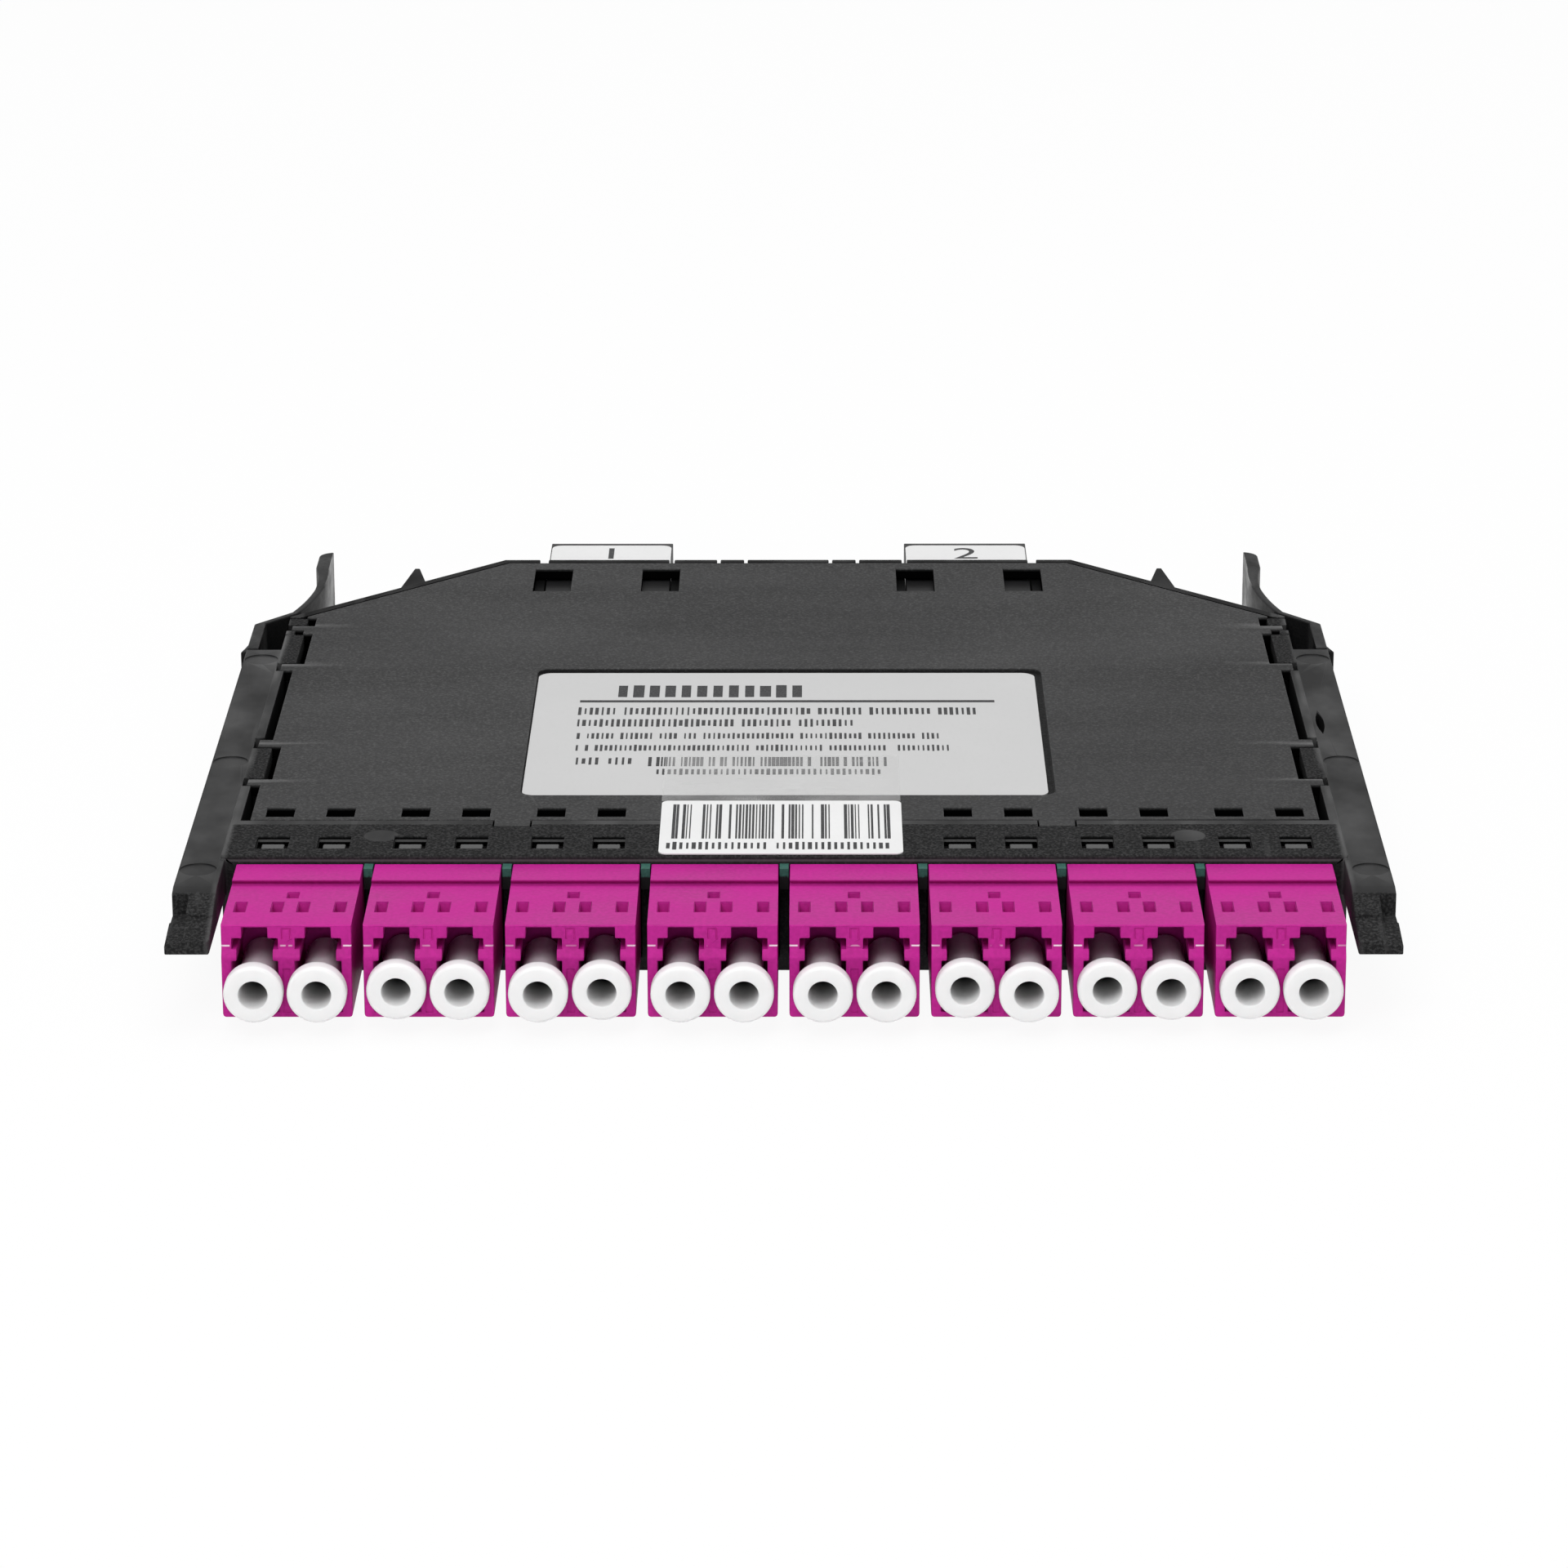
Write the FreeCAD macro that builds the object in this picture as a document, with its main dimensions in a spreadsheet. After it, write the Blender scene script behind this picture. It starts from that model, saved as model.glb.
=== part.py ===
import FreeCAD, Part
import Sketcher
import os

# Fibre cassette: a flat moulded housing that breaks two multi-fibre connectors at its rear out to
# a row of duplex adapters along its front. X runs to the right, Y to the rear and Z up. The origin
# is the middle of the housing's underside. Lengths are in millimetres.

# ---------------------------------------------------------------- driving sizes

SIZES = {
    # housing
    "body_width": 114.0,
    "body_depth": 106.0,
    "body_height": 12.4,
    "wall": 1.5,
    "floor": 1.5,
    "side_wall": 1.0,
    "rear_width": 67.0,
    "corner_depth": 23.0,
    "ledge": 1.2,
    "bar_depth": 11.0,
    "bar_thickness": 1.15,
    "rim_slit": 0.4,
    "inner_slit": 4.8,
    "outer_slit": 8.0,
    "tag_notch_inner": 0.6,
    "tag_notch_outer": 1.0,
    # cover
    "cover_thickness": 1.25,
    "cover_gap": 0.15,
    "side_slot": 0.95,
    "tongue_width": 3.7,
    "tongue_reach": 1.8,
    # blocks on the side walls, and the cover's fingers between them: the front block is placed
    # from the front wall, and the others forward from where the wall turns inward
    "block_width": 2.1,
    "block_drop": 0.1,
    "front_block_start": 25.0,
    "front_block_length": 10.1,
    "rear_block_back": 17.5,
    "rear_block_length": 10.6,
    "last_block_back": 3.1,
    "last_block_length": 2.4,
    "finger_gap": 0.65,
    "finger_reach": 0.45,
    "front_finger": 2.0,
    "middle_finger": 2.4,
    "rear_finger": 2.4,
    "last_finger": 1.6,
    # windows over the ports
    "window_width": 3.3,
    "window_depth": 3.8,
    "window_from_front": 2.3,
    "shelf_width": 2.3,
    "shelf_reach": 2.7,
    "shelf_drop": 0.5,
    "cover_window_width": 2.9,
    "cover_window_depth": 2.8,
    "cover_window_back": 1.2,
    "rear_window_width": 4.4,
    "rear_window_depth": 9.0,
    "rear_window_back": 3.9,
    "rear_window_spacing": 12.6,
    "post_width": 1.2,
    # duplex adapters
    "row_margin": 1.0,
    "adapter_spacing": 1.15,
    "adapter_height": 9.5,
    "adapter_reach": 17.0,
    "adapter_length": 28.0,
    "adapter_tail_step": 1.5,
    "adapter_gap": 0.1,
    "band_height": 0.45,
    "band_depth": 4.9,
    "band_gap": 0.1,
    "port_pitch": 6.25,
    "port_width": 4.6,
    "port_bottom": 0.55,
    "port_height": 5.35,
    "port_depth": 10.5,
    "shoulder_width": 3.55,
    "shoulder_height": 1.1,
    "latch_width": 4.6,
    "latch_height": 1.1,
    "slot_width": 2.55,
    "slot_height": 1.15,
    "dimple_width": 1.05,
    "dimple_length": 2.85,
    "dimple_depth": 0.4,
    "dimple_from_front": 3.9,
    "dimple_outer": 4.95,
    "dimple_inner": 1.3,
    "centre_dimple_length": 1.65,
    "centre_dimple_from_front": 8.0,
    "lip_reach": 0.5,
    "lip_from_top": 2.4,
    "lip_ramp": 0.85,
    "groove_width": 0.75,
    "groove_from_bottom": 0.5,
    "groove_height": 4.6,
    "groove_depth": 0.12,
    # dust caps
    "cap_flange_radius": 2.95,
    "cap_flange_thickness": 1.7,
    "cap_stem_radius": 1.85,
    "cap_bore_radius": 1.45,
    "cap_bore_depth": 5.0,
    "cap_insertion": 8.5,
    "cap_stand_off": 1.25,
    "cap_height": 3.4,
    "cap_seat_shallow": 0.7,
    "cap_seat_middle": 0.9,
    "cap_seat_deep": 1.2,
    # spacers between the adapters
    "spacer_width": 0.9,
    "spacer_height": 2.2,
    "spacer_depth": 1.6,
    # side rails and the finger grips at their front ends
    "rail_width": 4.0,
    "rail_top": 12.0,
    "rail_height": 3.8,
    "rail_short": 11.5,
    "grip_reach": 17.6,
    "grip_slope": 9.6,
    "grip_inset": 0.4,
    "grip_lip_top": 9.5,
    "grip_lip": 0.7,
    "grip_thumb_length": 4.7,
    "grip_thumb_width": 2.7,
    "grip_thumb_depth": 0.35,
    "grip_step_width": 1.7,
    "grip_step_length": 8.2,
    "grip_step_pocket": 2.2,
    "grip_step_depth": 2.6,
    "grip_step_ramp": 1.0,
    "rail_hole_width": 0.85,
    "rail_hole_length": 7.4,
    "rail_hole_depth": 1.6,
    "rail_hole_inset": 3.1,
    "rail_hole_from_front": 44.8,
    # release levers, in plan: along Y from the lever's root and inward from the rail's outer face
    "lever_gap": 0.05,
    "lever_strip": 1.3,
    "lever_bottom": 3.0,
    "lever_top": 12.1,
    "lever_elbow": 9.5,
    "lever_inner_elbow": 9.65,
    "lever_inner_knee_in": 4.6,
    "lever_inner_knee_along": 13.63,
    "lever_sweep_radius": 48.0,
    "lever_hollow_radius": 40.0,
    "lever_tip_radius": 1.9,
    "lever_knee_along": 14.2,
    "lever_knee_in": 3.9,
    "lever_arm": 0.9,
    "lever_neck_along": 23.5,
    "lever_neck_in": 5.8,
    "lever_pad_along": 32.5,
    "lever_pad_in": 5.2,
    "lever_pad": 1.6,
    "lever_reach": 38.7,
    "tooth_root": 0.2,
    "tooth_reach": 1.1,
    "tooth_start": 3.5,
    "tooth_length": 4.0,
    "tooth_top": 10.6,
    "tooth_height": 5.0,
    # fins on the slanted rear walls
    "fin_from_corner": 11.5,
    "fin_width": 3.2,
    "fin_reach": 9.5,
    "fin_root": 1.0,
    "fin_top": 12.0,
    "fin_tip": 0.6,
    "fin_tip_out": 1.2,
    # multi-fibre adapters
    "multi_spacing": 42.4,
    "multi_width": 14.6,
    "multi_height": 9.4,
    "multi_reach": 12.0,
    "multi_inside": 10.0,
    "multi_port_width": 12.5,
    "multi_port_height": 7.3,
    "multi_port_depth": 9.0,
    "multi_key_width": 3.2,
    "multi_key_height": 0.7,
    "multi_cap_gap": 0.15,
    "multi_cap_plug": 7.0,
    "multi_cap_reach": 3.5,
    # labels
    "label_thickness": 0.12,
    "label_width": 55.0,
    "label_depth": 42.6,
    "label_from_front": 19.3,
    "label_corner": 1.5,
    "recess_depth": 0.3,
    "recess_left": 0.15,
    "recess_right": 0.75,
    "recess_rear": 1.0,
    "recess_front": 0.15,
    "strip_width": 24.8,
    "strip_depth": 16.6,
    "strip_from_front": 0.3,
    "strip_offset": -0.35,
    "tag_width": 14.3,
    "tag_depth": 10.6,
    # inside
    "plug_width": 4.3,
    "plug_height": 4.6,
    "plug_length": 9.0,
    "plug_insertion": 6.0,
    "multi_plug_length": 14.0,
    "multi_plug_insertion": 6.0,
    "fibre_thickness": 1.0,
    "fibre_width": 3.0,
}

doc = FreeCAD.newDocument("FibreCassette")
sheet = doc.addObject("Spreadsheet::Sheet", "Sizes")
for row, (alias, number) in enumerate(SIZES.items(), start=1):
    sheet.set(f"A{row}", alias)
    sheet.set(f"B{row}", str(number))
    sheet.setAlias(f"B{row}", alias)
doc.recompute()


class Size:
    """A length that carries its spreadsheet formula along with its present number."""

    def __init__(self, number, formula):
        self.number = number
        self.formula = formula

    @staticmethod
    def of(value):
        return value if isinstance(value, Size) else Size(float(value), f"({value})")

    def __add__(self, other):
        other = Size.of(other)
        return Size(self.number + other.number, f"({self.formula} + {other.formula})")

    def __sub__(self, other):
        other = Size.of(other)
        return Size(self.number - other.number, f"({self.formula} - {other.formula})")

    def __mul__(self, other):
        other = Size.of(other)
        return Size(self.number * other.number, f"({self.formula} * {other.formula})")

    def __truediv__(self, other):
        other = Size.of(other)
        return Size(self.number / other.number, f"({self.formula} / {other.formula})")

    def __neg__(self):
        return Size(-self.number, f"(0 - {self.formula})")

    def __radd__(self, other):
        return Size.of(other) + self

    def __rsub__(self, other):
        return Size.of(other) - self

    def __rmul__(self, other):
        return Size.of(other) * self

    def __rtruediv__(self, other):
        return Size.of(other) / self


class Sheet:
    """The driving sizes by name."""

    def __getattr__(self, alias):
        return Size(SIZES[alias], f"Sizes.{alias}")


size = Sheet()

# ---------------------------------------------------------------- building blocks

PLANES = {"XY": "XY_Plane", "XZ": "XZ_Plane", "YZ": "YZ_Plane"}
# A sketch on the XZ plane faces -Y, so its offsets run the other way.
FACING = {"XY": 1, "XZ": -1, "YZ": 1}


def bind(thing, prop, value):
    """Bind one property of an object to a size."""
    thing.setExpression(prop, Size.of(value).formula)


def new_body(name):
    return doc.addObject("PartDesign::Body", name)


def new_sketch(body, plane, level):
    """A sketch on one of the body's own origin planes, shifted along its normal to a level."""
    sketch = body.newObject("Sketcher::SketchObject", f"{body.Name}_sketch")
    support = [part for part in body.Origin.OriginFeatures if part.Role == PLANES[plane]][0]
    sketch.AttachmentSupport = [(support, "")]
    sketch.MapMode = "FlatFace"
    bind(sketch, "AttachmentOffset.Base.z", Size.of(level) * FACING[plane])
    return sketch


def pin_point(sketch, element, place, point):
    """Hold one sketch point at a pair of sizes."""
    for kind, value in zip(("DistanceX", "DistanceY"), point):
        value = Size.of(value)
        number = sketch.addConstraint(
            Sketcher.Constraint(kind, -1, 1, element, place, value.number or 0.001))
        sketch.setExpression(f"Constraints[{number}]", value.formula)


class Bend:
    """A round stretch of an outline, from the corner before it to the corner after it."""

    def __init__(self, radius, turn=1):
        """The stretch turns to the left as the outline runs on, or to the right for turn -1."""
        self.radius = Size.of(radius)
        self.turn = turn

    def arc(self, start, end):
        chord = end - start
        half = chord.Length / 2
        to_centre = FreeCAD.Vector(-chord.y, chord.x, 0).normalize() * self.turn
        rise = (self.radius.number ** 2 - half ** 2) ** 0.5
        centre = (start + end) / 2 + to_centre * rise
        circle = Part.Circle(centre, FreeCAD.Vector(0, 0, 1), self.radius.number)
        first, last = (start, end) if self.turn > 0 else (end, start)
        return Part.ArcOfCircle(circle, circle.parameter(first), circle.parameter(last))


def add_outline(sketch, points):
    """A closed outline through corners given as pairs of sizes, straight but for its bends."""
    corners = []
    bends = {}
    for point in points:
        if isinstance(point, Bend):
            bends[len(corners) - 1] = point
        else:
            corners.append(point)
    vectors = [FreeCAD.Vector(Size.of(across).number, Size.of(along).number, 0)
               for across, along in corners]
    first = sketch.GeometryCount
    count = len(corners)
    ends = []
    for index in range(count):
        start, end = vectors[index], vectors[(index + 1) % count]
        bend = bends.get(index)
        sketch.addGeometry(bend.arc(start, end) if bend else Part.LineSegment(start, end))
        ends.append((2, 1) if bend and bend.turn < 0 else (1, 2))
    for index in range(count):
        following = (index + 1) % count
        sketch.addConstraint(Sketcher.Constraint(
            "Coincident", first + index, ends[index][1], first + following, ends[following][0]))
    for index in range(count):
        pin_point(sketch, first + index, ends[index][0], corners[index])
    for index, bend in bends.items():
        number = sketch.addConstraint(
            Sketcher.Constraint("Radius", first + index, bend.radius.number))
        sketch.setExpression(f"Constraints[{number}]", bend.radius.formula)


def rectangle(left, right, low, high):
    return [(left, low), (right, low), (right, high), (left, high)]


def rounded_rectangle(left, right, low, high, radius):
    return [(left + radius, low), (right - radius, low), Bend(radius),
            (right, low + radius), (right, high - radius), Bend(radius),
            (right - radius, high), (left + radius, high), Bend(radius),
            (left, high - radius), (left, low + radius), Bend(radius)]


def mirrored(points):
    """The same outline on the other side of the sketch's vertical axis."""
    return [point if isinstance(point, Bend) else (-Size.of(point[0]), point[1])
            for point in reversed(points)]


def both_sides(*outlines):
    return [*outlines, *(mirrored(points) for points in outlines)]


def grow(body, plane, outlines, low, high):
    """Add the outlines to the body as material between two levels."""
    low, high = Size.of(low), Size.of(high)
    sketch = new_sketch(body, plane, low if FACING[plane] > 0 else high)
    for points in outlines:
        add_outline(sketch, points)
    pad = body.newObject("PartDesign::Pad", f"{body.Name}_pad")
    pad.Profile = sketch
    bind(pad, "Length", high - low)
    doc.recompute()
    return pad


def carve(body, plane, outlines, low, high):
    """Cut the outlines out of the body between two levels, and check that something went."""
    before = body.Shape.Volume
    low, high = Size.of(low), Size.of(high)
    sketch = new_sketch(body, plane, high if FACING[plane] > 0 else low)
    for points in outlines:
        add_outline(sketch, points)
    pocket = body.newObject("PartDesign::Pocket", f"{body.Name}_pocket")
    pocket.Profile = sketch
    bind(pocket, "Length", high - low)
    doc.recompute()
    if not body.Shape.Volume < before:
        raise RuntimeError(f"a pocket of {body.Name} cut nothing")
    return pocket


def repeat_along_x(body, feature, spacing, count):
    """Repeat a feature to the right at a spacing."""
    pattern = body.newObject("PartDesign::LinearPattern", f"{body.Name}_row")
    pattern.Originals = [feature]
    pattern.Direction = (feature.Profile[0], ["H_Axis"])
    pattern.Occurrences = count
    bind(pattern, "Length", spacing * (count - 1))
    body.Tip = pattern
    doc.recompute()
    return pattern


def revolve(body, points, across, height):
    """Turn an outline of (distance along Y, radius) pairs about an axis parallel to Y."""
    sketch = new_sketch(body, "YZ", across)
    add_outline(sketch, [(along, height + radius) for along, radius in points])
    axis = sketch.addGeometry(
        Part.LineSegment(FreeCAD.Vector(-1, 0, 0), FreeCAD.Vector(1, 0, 0)), True)
    pin_point(sketch, axis, 1, (Size.of(points[0][0]) - 1, height))
    pin_point(sketch, axis, 2, (Size.of(points[0][0]) + 1, height))
    turned = body.newObject("PartDesign::Revolution", f"{body.Name}_turned")
    turned.Profile = sketch
    turned.ReferenceAxis = (sketch, ["Axis0"])
    turned.Angle = 360
    doc.recompute()
    return turned


NODES = {}


def keep_node(name, thing):
    thing.Label = name
    NODES[name] = thing


# ---------------------------------------------------------------- places shared by the pieces

half_width = size.body_width / 2
rear_half = size.rear_width / 2
front = -size.body_depth / 2
rear = size.body_depth / 2
top = size.body_height
corner = rear - size.corner_depth
bar_rear = front + size.bar_depth
cover_under = top - size.cover_thickness

ADAPTERS = 8
SIDES = {"left": -1, "right": 1}
# The slants lie near 45 degrees, so drawing one in shifts it along Y by about this much more.
DIAGONAL = 2 ** 0.5
adapter_pitch = (size.body_width - 2 * size.row_margin) / ADAPTERS
adapter_width = adapter_pitch - size.adapter_spacing
adapter_bottom = size.floor + size.adapter_gap
adapter_top = adapter_bottom + size.adapter_height
adapter_front = front - size.adapter_reach
lip_front = adapter_front - size.lip_reach
adapter_rear = adapter_front + size.adapter_length
adapter_half = adapter_width / 2
first_adapter = -(adapter_pitch * (ADAPTERS - 1) / 2)
half_port_pitch = size.port_pitch / 2
port_low = adapter_bottom + size.port_bottom
port_axis = adapter_bottom + size.cap_height
multi_bottom = (top - size.multi_height) / 2
multi_top = multi_bottom + size.multi_height
multi_front = rear - size.multi_inside
multi_rear = rear + size.multi_reach
rail_outer = half_width + size.rail_width
rail_low = size.rail_top - size.rail_height
rail_rear = corner - size.rail_short


def plan(side, front_inset, slant, rear_inset):
    """The housing's outline in plan, drawn in by its own amount on each kind of side."""
    lean = size.corner_depth / (half_width - rear_half)
    slant_shift = slant * DIAGONAL
    across = half_width - side
    shoulder = corner + lean * side - slant_shift
    tail = rear_half + rear_inset / lean - slant_shift
    return [(-across, front + front_inset), (across, front + front_inset), (across, shoulder),
            (tail, rear - rear_inset), (-tail, rear - rear_inset), (-across, shoulder)]


def both_ports(left, right, low, high):
    """A rectangle about each of an adapter's two port centres."""
    return [rectangle(side * half_port_pitch + left, side * half_port_pitch + right, low, high)
            for side in SIDES.values()]


# ---------------------------------------------------------------- base housing

BLOCKS = {
    "front": front + size.front_block_start,
    "rear": corner - size.rear_block_back,
    "last": corner - size.last_block_back,
}


def block_span(name):
    """Where one of the side walls' blocks lies along Y."""
    return BLOCKS[name], BLOCKS[name] + getattr(size, f"{name}_block_length")


def finger_spans():
    """Where the cover's side fingers lie along Y: one ahead of each block and one between."""
    spans = []
    for name in BLOCKS:
        end = block_span(name)[0] - size.finger_gap
        spans.append((end - getattr(size, f"{name}_finger"), end))
    middle = block_span("front")[1] + size.cover_gap
    spans.append((middle, middle + size.middle_finger))
    return spans


def build_base():
    body = new_body("base")
    grow(body, "XY", [plan(0, 0, 0, 0)], 0, top)
    # the rebate that takes the cover, then the deeper fibre bay inside its ledge
    carve(body, "XY", [plan(size.side_wall, size.bar_depth, size.ledge, size.ledge)],
          cover_under, top)
    carve(body, "XY", [plan(size.side_wall, size.bar_depth, 2 * size.ledge, 2 * size.ledge)],
          size.floor, cover_under)
    # under the front bar
    carve(body, "XZ", [rectangle(-half_width + size.side_wall, half_width - size.side_wall,
                                 size.floor, top - size.bar_thickness)],
          front + size.wall, bar_rear + size.wall)
    # one opening in the front wall for each duplex adapter
    opening = carve(body, "XZ", [rectangle(
        first_adapter - adapter_half - size.adapter_gap,
        first_adapter + adapter_half + size.adapter_gap,
        size.floor, adapter_top + size.adapter_gap)], front, front + size.wall)
    repeat_along_x(body, opening, adapter_pitch, ADAPTERS)
    # a window over each port
    half_window = size.window_width / 2
    window_front = front + size.window_from_front
    windows = carve(body, "XY", [rectangle(
        first_adapter + side * half_port_pitch - half_window,
        first_adapter + side * half_port_pitch + half_window,
        window_front, window_front + size.window_depth) for side in SIDES.values()],
        top - size.bar_thickness, top)
    repeat_along_x(body, windows, adapter_pitch, ADAPTERS)
    # and a shelf low in the front of each window
    half_shelf = size.shelf_width / 2
    shelves = grow(body, "XY", [rectangle(
        first_adapter + side * half_port_pitch - half_shelf,
        first_adapter + side * half_port_pitch + half_shelf,
        window_front, window_front + size.shelf_reach) for side in SIDES.values()],
        top - size.bar_thickness, top - size.shelf_drop)
    repeat_along_x(body, shelves, adapter_pitch, ADAPTERS)
    # notches for the cover's front tongues
    notch = size.tongue_width / 2 + size.cover_gap
    carve(body, "XY", both_sides(rectangle(
        2 * adapter_pitch - notch, 2 * adapter_pitch + notch,
        bar_rear - size.tongue_reach - size.cover_gap, bar_rear)),
        top - size.bar_thickness, top)
    # blocks on the side walls, and notches there for the cover's fingers
    for name in BLOCKS:
        start, end = block_span(name)
        grow(body, "XY", both_sides(rectangle(
            half_width - size.block_width, half_width - size.side_wall, start, end)),
            size.floor, top - size.block_drop)
        carve(body, "XY", both_sides(rectangle(
            half_width - size.side_wall, half_width, start, end)), top - size.block_drop, top)
    carve(body, "XY", both_sides(*(rectangle(
        half_width - size.side_wall, half_width, start - size.cover_gap, end + size.finger_gap)
        for start, end in finger_spans())), cover_under, top)
    # openings in the rear wall for the multi-fibre adapters
    half_multi = size.multi_width / 2 + size.adapter_gap
    carve(body, "XZ", both_sides(rectangle(
        size.multi_spacing / 2 - half_multi, size.multi_spacing / 2 + half_multi,
        size.floor, multi_top + size.adapter_gap)), rear - 2 * size.ledge, rear)
    # posts beside the multi-fibre adapters
    middle = size.multi_spacing / 2
    post_front = rear - size.rear_window_back - size.rear_window_depth
    grow(body, "XY", both_sides(
        rectangle(middle - half_multi - size.post_width, middle - half_multi,
                  post_front, rear - 2 * size.ledge),
        rectangle(middle + half_multi, middle + half_multi + size.post_width,
                  post_front, rear - 2 * size.ledge)), size.floor, cover_under - size.cover_gap)
    # slits in the rear wall's rim, and wider notches beside the tags
    half_tag = size.tag_width / 2
    notches = ((size.inner_slit, size.rim_slit), (size.outer_slit, size.rim_slit),
               (middle - half_tag - size.tag_notch_inner, size.tag_notch_inner),
               (middle + half_tag, size.tag_notch_outer))
    carve(body, "XY", both_sides(*(rectangle(start, start + width, rear - size.ledge, rear)
                                   for start, width in notches)), cover_under, top)
    # rails
    grow(body, "XY", both_sides(rectangle(half_width, rail_outer, front, rail_rear)),
         rail_low, size.rail_top)
    # a long pointed hole in the right rail only
    hole = rail_outer - size.rail_hole_inset
    hole_front = front + size.rail_hole_from_front - size.rail_hole_length / 2
    hole_side = Bend((size.rail_hole_length * size.rail_hole_length
                      + size.rail_hole_width * size.rail_hole_width)
                     / (4 * size.rail_hole_width))
    carve(body, "XY", [[(hole, hole_front), hole_side,
                        (hole, hole_front + size.rail_hole_length), hole_side]],
          size.rail_top - size.rail_hole_depth, size.rail_top)
    add_grips(body)
    add_fins(body)
    keep_node("base_housing", body)


def add_grips(body):
    """The rails' front ends: finger grips that slope down beside the adapters."""
    tip = front - size.grip_reach
    crease = tip + size.grip_slope
    inner = half_width - size.grip_inset
    slope = (size.rail_top - size.grip_lip_top) / size.grip_slope
    profile = [(tip, rail_low), (front, rail_low), (front, size.rail_top),
               (crease, size.rail_top), (tip, size.grip_lip_top)]
    thumb_rear = tip + size.grip_thumb_length
    thumb_floor = size.grip_lip_top - size.grip_thumb_depth
    thumb = [(tip + size.grip_lip, thumb_floor + slope * size.grip_lip),
             (thumb_rear, thumb_floor + slope * size.grip_thumb_length),
             (thumb_rear, size.rail_top), (tip + size.grip_lip, size.rail_top)]
    step_rear = tip + size.grip_step_length
    step_floor = size.rail_top - size.grip_step_depth
    step = [(tip, size.grip_lip_top - size.grip_thumb_depth),
            (step_rear - size.grip_step_pocket - size.grip_step_ramp,
             step_floor + size.grip_thumb_depth),
            (step_rear - size.grip_step_pocket, step_floor), (step_rear, step_floor),
            (step_rear, size.rail_top), (tip, size.rail_top)]
    step_inner = rail_outer - size.grip_step_width
    for side in SIDES.values():
        if side > 0:
            grow(body, "YZ", [profile], inner, rail_outer)
            carve(body, "YZ", [thumb], step_inner - size.grip_thumb_width, step_inner)
            carve(body, "YZ", [step], step_inner, rail_outer)
        else:
            grow(body, "YZ", [profile], -rail_outer, -inner)
            carve(body, "YZ", [thumb], -step_inner, -step_inner + size.grip_thumb_width)
            carve(body, "YZ", [step], -rail_outer, -step_inner)


def add_fins(body):
    """A guide fin standing off each slanted rear wall."""
    lean = size.corner_depth / (half_width - rear_half)
    outer = half_width - size.fin_from_corner
    inner = outer - size.fin_width
    fin = [(outer, corner + lean * size.fin_from_corner - size.fin_root),
           (inner, corner + lean * (size.fin_from_corner + size.fin_width) - size.fin_root),
           (inner, corner + lean * (size.fin_from_corner + size.fin_width)),
           (inner + size.fin_tip_out, corner + lean * size.fin_from_corner + size.fin_reach),
           (inner + size.fin_tip_out + size.fin_tip,
            corner + lean * size.fin_from_corner + size.fin_reach),
           (outer, corner + lean * size.fin_from_corner)]
    grow(body, "XY", both_sides(fin), rail_low, size.fin_top)


# ---------------------------------------------------------------- cover


def build_cover():
    body = new_body("cover_plate")
    gap = size.cover_gap
    edge = size.side_wall + size.side_slot
    grow(body, "XY", [plan(edge, size.bar_depth + gap, size.ledge + gap, size.ledge + gap)],
         cover_under, top)
    # front tongues that tuck into the bar
    half_tongue = size.tongue_width / 2
    grow(body, "XY", both_sides(rectangle(
        2 * adapter_pitch - half_tongue, 2 * adapter_pitch + half_tongue,
        bar_rear - size.tongue_reach, bar_rear + 2 * gap)), cover_under, top)
    # the edge keeps clear of the side walls' blocks and reaches over the walls as fingers
    block_edge = half_width - size.block_width - size.side_slot
    carve(body, "XY", both_sides(*(rectangle(
        block_edge, half_width - size.side_wall, start - size.finger_gap, end + gap)
        for start, end in map(block_span, BLOCKS))), cover_under, top)
    grow(body, "XY", both_sides(*(rectangle(
        block_edge, half_width - size.side_wall + size.finger_reach, start, end)
        for start, end in finger_spans())), cover_under, top)
    # windows over the inner plugs' latches
    half_window = size.cover_window_width / 2
    window_front = bar_rear + size.cover_window_back
    windows = carve(body, "XY", [rectangle(
        first_adapter + side * half_port_pitch - half_window,
        first_adapter + side * half_port_pitch + half_window,
        window_front, window_front + size.cover_window_depth) for side in SIDES.values()],
        cover_under, top)
    repeat_along_x(body, windows, adapter_pitch, ADAPTERS)
    # windows beside the multi-fibre adapters
    window_rear = rear - size.rear_window_back
    for centre in (size.multi_spacing / 2 - size.rear_window_spacing / 2,
                   size.multi_spacing / 2 + size.rear_window_spacing / 2):
        carve(body, "XY", both_sides(rectangle(
            centre - size.rear_window_width / 2, centre + size.rear_window_width / 2,
            window_rear - size.rear_window_depth, window_rear)), cover_under, top)
    # the shallow recess of the main label
    label_front = front + size.label_from_front
    carve(body, "XY", [rounded_rectangle(
        -size.label_width / 2 - size.recess_left, size.label_width / 2 + size.recess_right,
        label_front - size.recess_front, label_front + size.label_depth + size.recess_rear,
        size.label_corner)], top - size.recess_depth, top)
    keep_node("cover", body)


# ---------------------------------------------------------------- duplex adapters


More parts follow.
